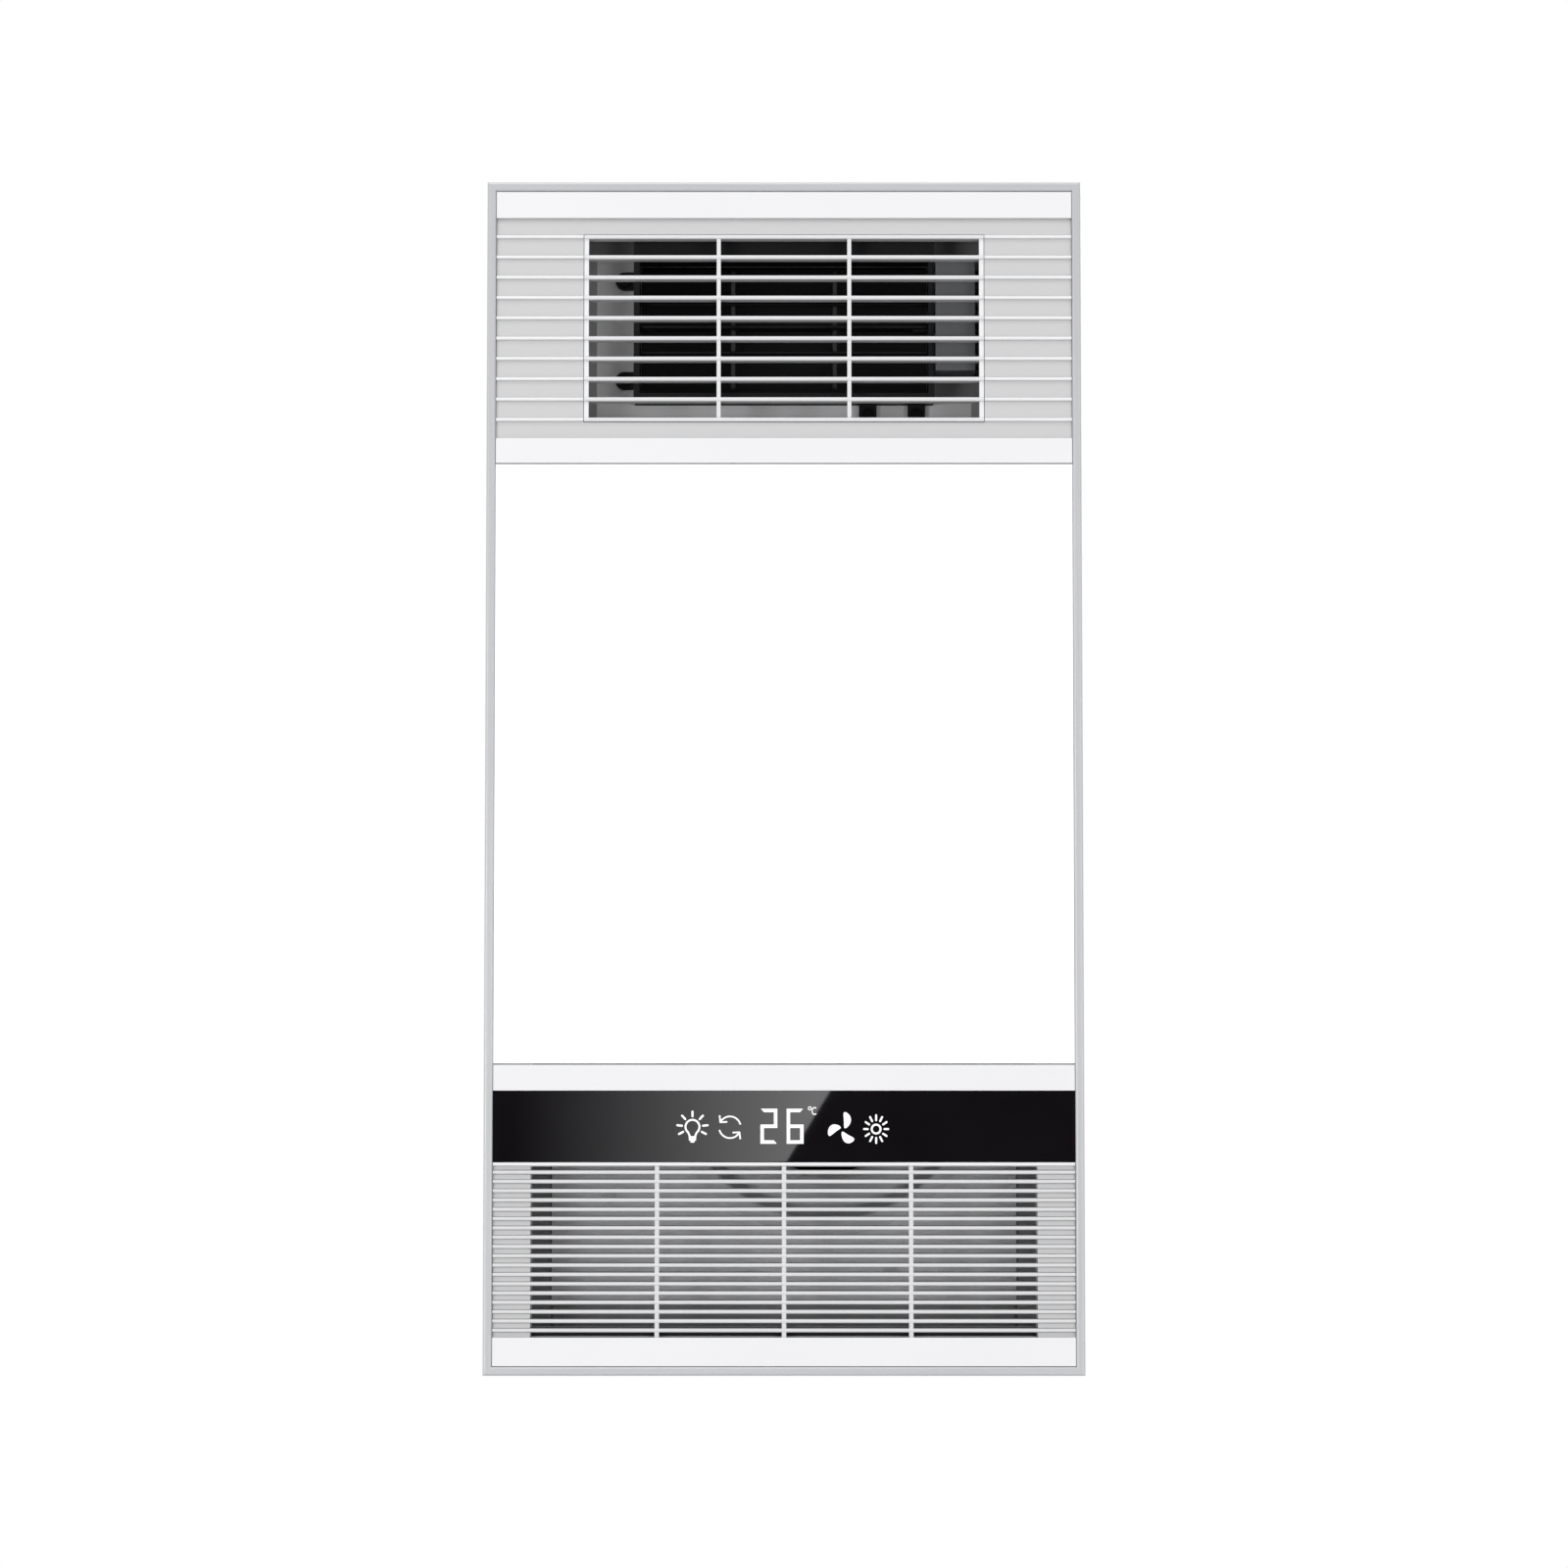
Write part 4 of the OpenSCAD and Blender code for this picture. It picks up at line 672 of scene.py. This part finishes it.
def build_top_seams():
    """Folded seams along the top's long edges with a row of spot welds each, and hems below."""
    seams, welds = Sheets(), []
    low_y, high_y = HOUSING_LOW.y + 2 * MM, HOUSING_HIGH.y - 2 * MM
    seam_z = TOP_Z + SEAM_THICKNESS
    for side, face in SIDES:
        seams.plate((face - side * 1 * MM, low_y, TOP_Z), (face - side * 12 * MM, high_y, seam_z))
        hem_x, hem_z = face + side * 0.8 * MM, HOUSING_LOW.z + 7 * MM
        seams.plate((face, low_y, HOUSING_LOW.z), (hem_x, high_y, hem_z))
        for i in range(SEAM_WELDS):
            y = (i - (SEAM_WELDS - 1) / 2) * WELD_STEP
            welds.append(((face - side * 6.5 * MM, y, seam_z), (0, 0, 1)))
    seams.make_piece("housing_seams", "chassis", "galvanised_steel", galvanised_sheet)
    rings = spot_welds(galvanised_sheet).build("spot_weld_rings", welds)
    add_piece("spot_weld_rings", rings, "chassis")


def ear_rivets():
    low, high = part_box("hanger_ears")
    return [
        ((face + side * EAR_THICKNESS, y, level * MM), (side, 0, 0))
        for side, face in SIDES
        for y in (low.y + EAR_HALF_WIDTH, high.y - EAR_HALF_WIDTH)
        for level in EAR_RIVET_LEVELS
    ]


def chassis_heads():
    """Screw heads of the chassis but those that hold the louvre, and two on the wiring cover."""
    louvre_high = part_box("louvre_frame")[1]
    heads = [
        (top, facing) for top, facing in screw_heads("chassis_screws")
        if not (facing.z < -0.5 and top.y < louvre_high.y + LOUVRE_REACH)
    ]
    cover_low, cover_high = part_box("wiring_cover")
    head_x, head_z = HOUSING_HIGH.x + 1.5 * MM, 111 * MM
    for y in (cover_low.y + 6 * MM, cover_high.y - 6 * MM):
        heads.append((Vector((head_x, y, head_z)), Vector((1, 0, 0))))
    return heads


def build_fasteners():
    rivet = blind_rivets(zinc)
    rivets = rivet.build("housing_rivets", ear_rivets() + build_corner_laps())
    add_piece("housing_rivets", rivets, "chassis")
    screw = cross_screws(zinc)
    heads = screw.build("cross_screw_heads", chassis_heads(), Radius=3 * MM)
    add_piece("cross_screw_heads", heads, "chassis")
    panel_sizes = {"Radius": 2.2 * MM, "Height": 0.5 * MM}
    panel_heads = screw.build("panel_screw_heads", screw_heads("panel_screws"), **panel_sizes)
    add_piece("panel_screw_heads", panel_heads, "front_panel")


# Foam strips, a dark strip of painted shade under the intake end rail, and grey plates by the
# louvre, partly flange and partly painted shadow; GAP keeps them off what they lie against
GAP = 0.1 * MM
FOAM_GRAIN = 700


def build_panel_seal(foam):
    """Foam ring on the panel's rim, below the housing's edge."""
    ring = Sheets()
    low_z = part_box("outlet_end_rail")[0].z + 9 * MM
    high_z = HOUSING_LOW.z - GAP
    inner_x, outer_x = HOUSING_HIGH.x - 1.6 * MM, HOUSING_HIGH.x + 3 * MM
    inner_y, outer_y = HOUSING_HIGH.y - 1.6 * MM, HOUSING_HIGH.y + 3 * MM
    end_x = inner_x - 0.05 * MM
    for side in (-1, 1):
        ring.plate((side * inner_x, -outer_y, low_z), (side * outer_x, outer_y, high_z))
        ring.plate((-end_x, side * inner_y, low_z), (end_x, side * outer_y, high_z))
    ring.make_piece("panel_seal", "front_panel", "black_plastic", foam)


def build_outlet_seal():
    """Grey foam beside the duct floor, on both sides of the outlet grille."""
    grey_foam = plastic(
        "grey_foam", shade(168, 168, 170), shade(180, 180, 182), 0.8, grain_scale=FOAM_GRAIN)
    strip = Sheets()
    floor_low, floor_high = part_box("duct_floor")
    grille_low, grille_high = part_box("outlet_grille")
    inner_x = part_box("heater_frame")[1].x + 1.5 * MM
    outer_x, end_y = inner_x + 6 * MM, grille_high.y + 4 * MM
    for side, start_y in ((-1, grille_low.y - 4 * MM), (1, grille_high.y - 18 * MM)):
        strip.plate(
            (side * inner_x, start_y, floor_low.z), (side * outer_x, end_y, floor_high.z))
    strip.make_piece("outlet_seal_strip", "chassis", "black_plastic", grey_foam)


def build_deck_seal():
    """Foam between three edges of the fan deck and the housing's walls."""
    deck_low, deck_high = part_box("fan_deck")
    dark_foam = plastic(
        "dark_foam", shade(152, 152, 154), shade(164, 164, 166), 0.85, grain_scale=FOAM_GRAIN)
    wall_x, wall_y = HOUSING_HIGH.x - 1.1 * MM, HOUSING_HIGH.y - 1.1 * MM
    low_z, high_z = deck_high.z - 9 * MM, deck_high.z - 3 * MM
    seal = Sheets()
    for side in (-1, 1):
        edge_x = side * (deck_high.x + GAP)
        seal.plate((edge_x, deck_low.y, low_z), (side * wall_x, wall_y, high_z))
    seal.plate((deck_low.x, deck_high.y + GAP, low_z), (deck_high.x, wall_y, high_z))
    seal.make_piece("deck_seal", "chassis", "black_plastic", dark_foam)


def build_rail_shade_strip(foam):
    """Dark strip under the shelf of the intake end rail: painted shade in the last row seen
    through the intake grille.
    """
    tape = Sheets()
    shelf_y, shelf_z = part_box("intake_end_rail")[0].y + GAP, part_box("intake_grille")[1].z
    half_length, width = 126 * MM, 4.6 * MM
    # Painted shade: the dark foam colour darkens the rail's shelf seen through the intake
    tape.plate(
        (-half_length, shelf_y, shelf_z - 0.5 * MM),
        (half_length, shelf_y + width, shelf_z - 0.02 * MM))
    tape.make_piece("intake_rail_shade_strip", "front_panel", "black_plastic", foam)


def build_seals():
    # Dark foam for the panel's seal, and painted shade under the intake end rail
    foam = plastic(
        "seal_and_shade_foam", shade(34, 34, 36), shade(48, 48, 50), 0.9, grain_scale=FOAM_GRAIN,
        sheen=0.2)
    build_panel_seal(foam)
    build_outlet_seal()
    build_deck_seal()
    build_rail_shade_strip(foam)


def build_flange_and_shade_plates():
    """Grey plates beside the louvre: behind its motor cover a flange; before the motor cover and
    at its other end, at the outlet end, painted shadow of the surround's end wall.
    """
    frame_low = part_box("louvre_frame")[0]
    cover_low, cover_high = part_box("vane_motor_cover")
    floor_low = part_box("duct_floor")[0]
    low_z, high_z = floor_low.z - 1.1 * MM, floor_low.z - GAP
    inner_x, outer_x, wall_y = cover_low.x, cover_high.x + 5 * MM, floor_low.y
    flange = Sheets()
    # Painted shadow: the first and third plates darken the outlet end; the second is a flange
    flange.plate((inner_x, wall_y, low_z), (outer_x, cover_low.y - GAP, high_z))
    flange.plate(
        (inner_x, cover_high.y + GAP, low_z), (outer_x, cover_high.y + 9.5 * MM, high_z))
    flange.plate((-outer_x, wall_y, low_z), (-inner_x, frame_low.y + 4 * MM, high_z))
    flange_and_shade_grey = plastic("flange_and_shade_grey", shade(130, 130, 133), shade(142, 142, 145), 0.55)
    flange.make_piece("flange_and_shade_plates", "chassis", "black_plastic", flange_and_shade_grey)


build_top_seams()
build_fasteners()
build_seals()
build_flange_and_shade_plates()


# Printed signs on the display window. They are drawn in millimetres from the window's
# centre, as seen from below: x to the right and y up in the photograph
WINDOW_LOW, WINDOW_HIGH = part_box("display_window")
PRINT_DEPTH = 0.08 * MM
ARC_STEP = 12           # degrees
ROUND_END = range(-90, 91, 30)


class Print(Work):
    """Flat signs printed on the window: outlines become thin plates."""

    def loop(self, outline, level):
        """New points along an outline, level above the window's lower face."""
        centre_y = (WINDOW_LOW.y + WINDOW_HIGH.y) / 2
        return [
            self.mesh.verts.new((x * MM, centre_y - y * MM, WINDOW_LOW.z + level))
            for x, y in outline
        ]

    def wall(self, first, second):
        """Faces between two loops of as many points."""
        for i in range(len(first)):
            j = (i + 1) % len(first)
            self.mesh.faces.new((first[j], first[i], second[i], second[j]))

    def plate(self, outline):
        low, high = self.loop(outline, -PRINT_DEPTH), self.loop(outline, 0)
        self.mesh.faces.new(low)
        self.mesh.faces.new(reversed(high))
        self.wall(low, high)

    def ring(self, outer, inner):
        """A closed band between two outlines of as many points."""
        loops = [
            self.loop(outline, level)
            for outline, level in (
                (outer, -PRINT_DEPTH), (outer, 0), (inner, 0), (inner, -PRINT_DEPTH))
        ]
        for first, second in zip(loops, loops[1:] + loops[:1]):
            self.wall(first, second)

    def arc(self, x, y, radius, width, start, end, squeeze=1.0):
        """A curved line from one angle to another, in degrees, or a closed ring."""
        turn = end - start
        whole = turn == 360
        steps = max(6, int(turn / ARC_STEP))
        count = steps if whole else steps + 1
        angles = [math.radians(start + turn * i / steps) for i in range(count)]
        outer, inner = (
            [(x + r * squeeze * math.cos(a), y + r * math.sin(a)) for a in angles]
            for r in (radius + width / 2, radius - width / 2)
        )
        if whole:
            self.ring(outer, inner)
        else:
            self.plate(outer + inner[::-1])

    def stroke(self, x0, y0, x1, y1, width):
        """A straight line with round ends."""
        turn = math.atan2(y1 - y0, x1 - x0)
        half = width / 2
        outline = []
        for x, y, back in ((x1, y1, 0), (x0, y0, 180)):
            for degrees in ROUND_END:
                a = turn + math.radians(back + degrees)
                outline.append((x + half * math.cos(a), y + half * math.sin(a)))
        self.plate(outline)

    def ray(self, x, y, angle, start, end, width):
        c, s = math.cos(math.radians(angle)), math.sin(math.radians(angle))
        self.stroke(x + start * c, y + start * s, x + end * c, y + end * s, width)

    def make_sign(self, name):
        bmesh.ops.recalc_face_normals(self.mesh, faces=self.mesh.faces)
        self.make_piece(name, "front_panel", "black_window", white_pigment)


def light_sign():
    """A lamp bulb: glass, neck, cap and seven rays."""
    sign = Print()
    x, y = -45.7, -0.3
    sign.arc(x, y, 3.5, 0.95, -52, 232)
    for side in (-1, 1):
        sign.stroke(x + side * 2.15, y - 2.76, x + side * 1.35, y - 4.6, 0.95)
    for half, drop, line in ((1.3, 5.3, 1.3), (1.3, 6.4, 1.1), (0.6, 7.4, 0.9)):
        sign.stroke(x - half, y - drop, x + half, y - drop, line)
    for angle in (90, 47, 133, 6, 174, -28, 208):
        sign.ray(x, y, angle, 5.3, 7.6, 1.05)
    sign.make_sign("light_sign")


def turning_arrows_sign():
    """Two arrows that chase each other round a circle."""
    sign = Print()
    x, y, radius, line, barb = -27.0, -0.5, 5.4, 0.8, 3.1
    for start, end in ((14, 152), (194, 332)):
        sign.arc(x, y, radius, line, start, end)
        tip_at = math.radians(end)
        tip_x, tip_y = x + radius * math.cos(tip_at), y + radius * math.sin(tip_at)
        for spread in (35, -60):
            back = tip_at + math.radians(90 + 180 + spread)
            end_x, end_y = tip_x + barb * math.cos(back), tip_y + barb * math.sin(back)
            sign.stroke(tip_x, tip_y, end_x, end_y, line)
    sign.make_sign("turning_arrows_sign")


# Seven-segment digits: where each bar runs, from (column, row) to (column, row)
BARS = {
    "top": ((0, 2), (1, 2)), "upper_left": ((0, 2), (0, 1)), "upper_right": ((1, 2), (1, 1)),
    "middle": ((0, 1), (1, 1)), "lower_left": ((0, 1), (0, 0)), "lower_right": ((1, 1), (1, 0)),
    "bottom": ((0, 0), (1, 0)),
}
LIT = {
    2: ["top", "upper_right", "middle", "lower_left", "bottom"],
    6: ["top", "upper_left", "middle", "lower_left", "lower_right", "bottom"],
}
# How far the corners of a level bar stand out sideways, in half line widths, in the order
# upper left, upper right, lower right, lower left. A free end is cut at a slant
SQUARE_ENDS = (-1, 1, 1, -1)
SLANTED_ENDS = {
    (2, "top"): (-0.7, 1, 1, 1),
    (6, "top"): (-1, 0.7, -1, -1),
    (2, "bottom"): (-1, -1, 0.7, -1),
}


def digit(sign, value, x, width=6.7, height=15.7, line=1.75):
    """A seven-segment digit whose bars meet at the corners."""
    half = line / 2
    for name in LIT[value]:
        (c0, r0), (c1, r1) = BARS[name]
        x0, y0 = x + c0 * width, (r0 / 2 - 0.5) * height
        x1, y1 = x + c1 * width, (r1 / 2 - 0.5) * height
        if r0 == r1:
            a, b, c, d = (half * out for out in SLANTED_ENDS.get((value, name), SQUARE_ENDS))
            high, low = y0 + half, y0 - half
            outline = [(x0 + a, high), (x1 + b, high), (x1 + c, low), (x0 + d, low)]
        else:
            outline = [(x0 - half, y0), (x0 + half, y0), (x0 + half, y1), (x0 - half, y1)]
        sign.plate(outline)


def temperature_sign():
    """26 with a small degree C."""
    sign = Print()
    digit(sign, 2, -10.9)
    digit(sign, 6, 2.2)
    sign.arc(12.9, 8.9, 0.75, 0.45, 0, 360)
    sign.arc(15.3, 7.6, 1.7, 0.6, 50, 310, squeeze=0.75)
    sign.make_sign("temperature_sign")


SIGN_SQUEEZE = 0.87     # the fan and heat signs are narrower than they are high


def fan_sign():
    """Three kidney-shaped blades round an open middle."""
    sign = Print()
    x, y = 29.2, -1.45
    middle, half_length, half_width = 4.45, 4.05, 2.05
    shift, taper, curve, points = -2.85, 0.14, 0.085, 28
    for turn in (90, 210, 330):
        c, s = math.cos(math.radians(turn)), math.sin(math.radians(turn))
        outline = []
        for i in range(points):
            t = 2 * math.pi * i / points
            along = middle + half_length * math.cos(t)
            across = half_width * math.sin(t) * (1 + taper * math.cos(t)) + shift
            across += curve * (along - middle) ** 2
            blade_x, blade_y = along * c - across * s, along * s + across * c
            outline.append((x + SIGN_SQUEEZE * blade_x, y + blade_y))
        sign.plate(outline)
    sign.make_sign("fan_sign")


def heat_sign():
    """A ring with twelve rays round it; the steeper rays start a little further out."""
    sign = Print()
    x, y = 46.0, -1.4
    sign.arc(x, y, 2.2, 1.0, 0, 360)
    for i in range(12):
        a = math.radians(30 * i)
        across, up = SIGN_SQUEEZE * math.cos(a), math.sin(a)
        reach = math.hypot(across, up)
        start = 4.4 if reach > 0.95 else 4.2
        sign.ray(x, y, math.degrees(math.atan2(up, across)), start, 6.9 * reach, 1.0)
    sign.make_sign("heat_sign")


light_sign()
turning_arrows_sign()
temperature_sign()
fan_sign()
heat_sign()


# Stage: a white world for the camera, a pale floor far below, a card and soft lights
WHITE = (1, 1, 1, 1)
WORLD_STRENGTH = 0.55
FLOOR_Z = -2.9
FLOOR_HALF = 12
CARD_Z = -1.9
LIGHTS = {              # place, diameter and watts; each aims at the origin
    "key": ((-0.4, -2.9, -1.75), 1.2, 24),
    "fill": ((0.9, 1.5, -1.9), 1.6, 2),
    "left": ((-1.5, 0.2, -2.3), 0.9, 17),
    "right": ((1.5, 0.2, -2.3), 0.9, 11),
    "top": ((0.8, -1.0, 2.2), 2.0, 30),
}


def build_world():
    """White to the camera and in gloss, and dimmer as light on the object."""
    world = bpy.data.worlds.new("studio")
    world.use_nodes = True
    tree = world.node_tree
    tree.nodes.clear()
    out, seen, lit, path, mix, white = (
        tree.nodes.new("ShaderNode" + kind)
        for kind in ("OutputWorld", "Background", "Background", "LightPath", "MixShader", "Math")
    )
    for background, strength in ((seen, 1.0), (lit, WORLD_STRENGTH)):
        background.inputs["Color"].default_value = WHITE
        background.inputs["Strength"].default_value = strength
    white.operation = "ADD"
    white.use_clamp = True
    for source, target in (
        (path.outputs["Is Camera Ray"], white.inputs[0]),
        (path.outputs["Is Glossy Ray"], white.inputs[1]),
        (white.outputs[0], mix.inputs[0]),
        (lit.outputs[0], mix.inputs[1]),
        (seen.outputs[0], mix.inputs[2]),
        (mix.outputs[0], out.inputs[0]),
    ):
        tree.links.new(source, target)
    bpy.context.scene.world = world


def soft_light(name, place, diameter, watts):
    lamp = bpy.data.lights.new(name, "AREA")
    lamp.shape = "DISK"
    lamp.size = diameter
    lamp.energy = watts
    seat = add_object(name, lamp)
    seat.location = place
    seat.rotation_euler = (-Vector(place)).to_track_quat("-Z", "Y").to_euler()


def level_card(name, low, high, z, material):
    """A level rectangle between two corners."""
    mesh = bpy.data.meshes.new(name)
    corners = [(low[0], low[1]), (high[0], low[1]), (high[0], high[1]), (low[0], high[1])]
    mesh.from_pydata([(x, y, z) for x, y in corners], [], [(0, 1, 2, 3)])
    mesh.materials.append(material)
    return add_object(name, mesh)


def build_floor():
    finish = Finish("pale_floor", shade(232), roughness=0.9)
    cloud = finish.noise(scale=3, detail=3)
    finish.set("Base Color", finish.blend(cloud, shade(230), shade(235)))
    low, high = (-FLOOR_HALF, -FLOOR_HALF), (FLOOR_HALF, FLOOR_HALF)
    floor = level_card("floor", low, high, FLOOR_Z, finish.material)


def mirrored(x, y):
    """Place on the card that the camera sees mirrored at a place on the window."""
    eye = bpy.context.scene.camera.matrix_world.translation
    reach = (WINDOW_LOW.z - CARD_Z) / (WINDOW_LOW.z - eye.z)
    return x + (x - eye.x) * reach, y + (y - eye.y) * reach


def build_sheen_card():
    """Card below the intake end whose mirror image is the sheen on the display window."""
    spread_x, spread_y = 0.15, 0.006
    low = mirrored(-spread_x, WINDOW_LOW.y - spread_y)
    high = mirrored(spread_x, WINDOW_HIGH.y + spread_y)
    finish = Finish("sheen_card", (0, 0, 0), 1.0, Emission_Strength=3.7, Specular_IOR_Level=0.0)
    # The sheen rises from start to a slanted edge, given by its ends on the window
    edge_top, y_top = mirrored(0.0231, WINDOW_LOW.y)
    edge_low, y_low = mirrored(0.0012, WINDOW_HIGH.y)
    start = mirrored(-0.137, WINDOW_LOW.y)[0]
    slope = (edge_low - edge_top) / (y_low - y_top)
    x, y = finish.axis("X"), finish.axis("Y")
    lit = (x - (y - y_top) * slope) < edge_top
    rise = ((x - start) * (1 / (edge_top - start - 0.015))).clamped_power(1.45)
    finish.set("Emission Color", finish.blend(lit * rise, (0, 0, 0), (1, 0.985, 1)))
    card = level_card("sheen_card", low, high, CARD_Z, finish.material)


build_world()
build_floor()
build_sheen_card()
for name, settings in LIGHTS.items():
    soft_light(name, *settings)

scene = bpy.context.scene
scene.view_settings.view_transform = "Standard"
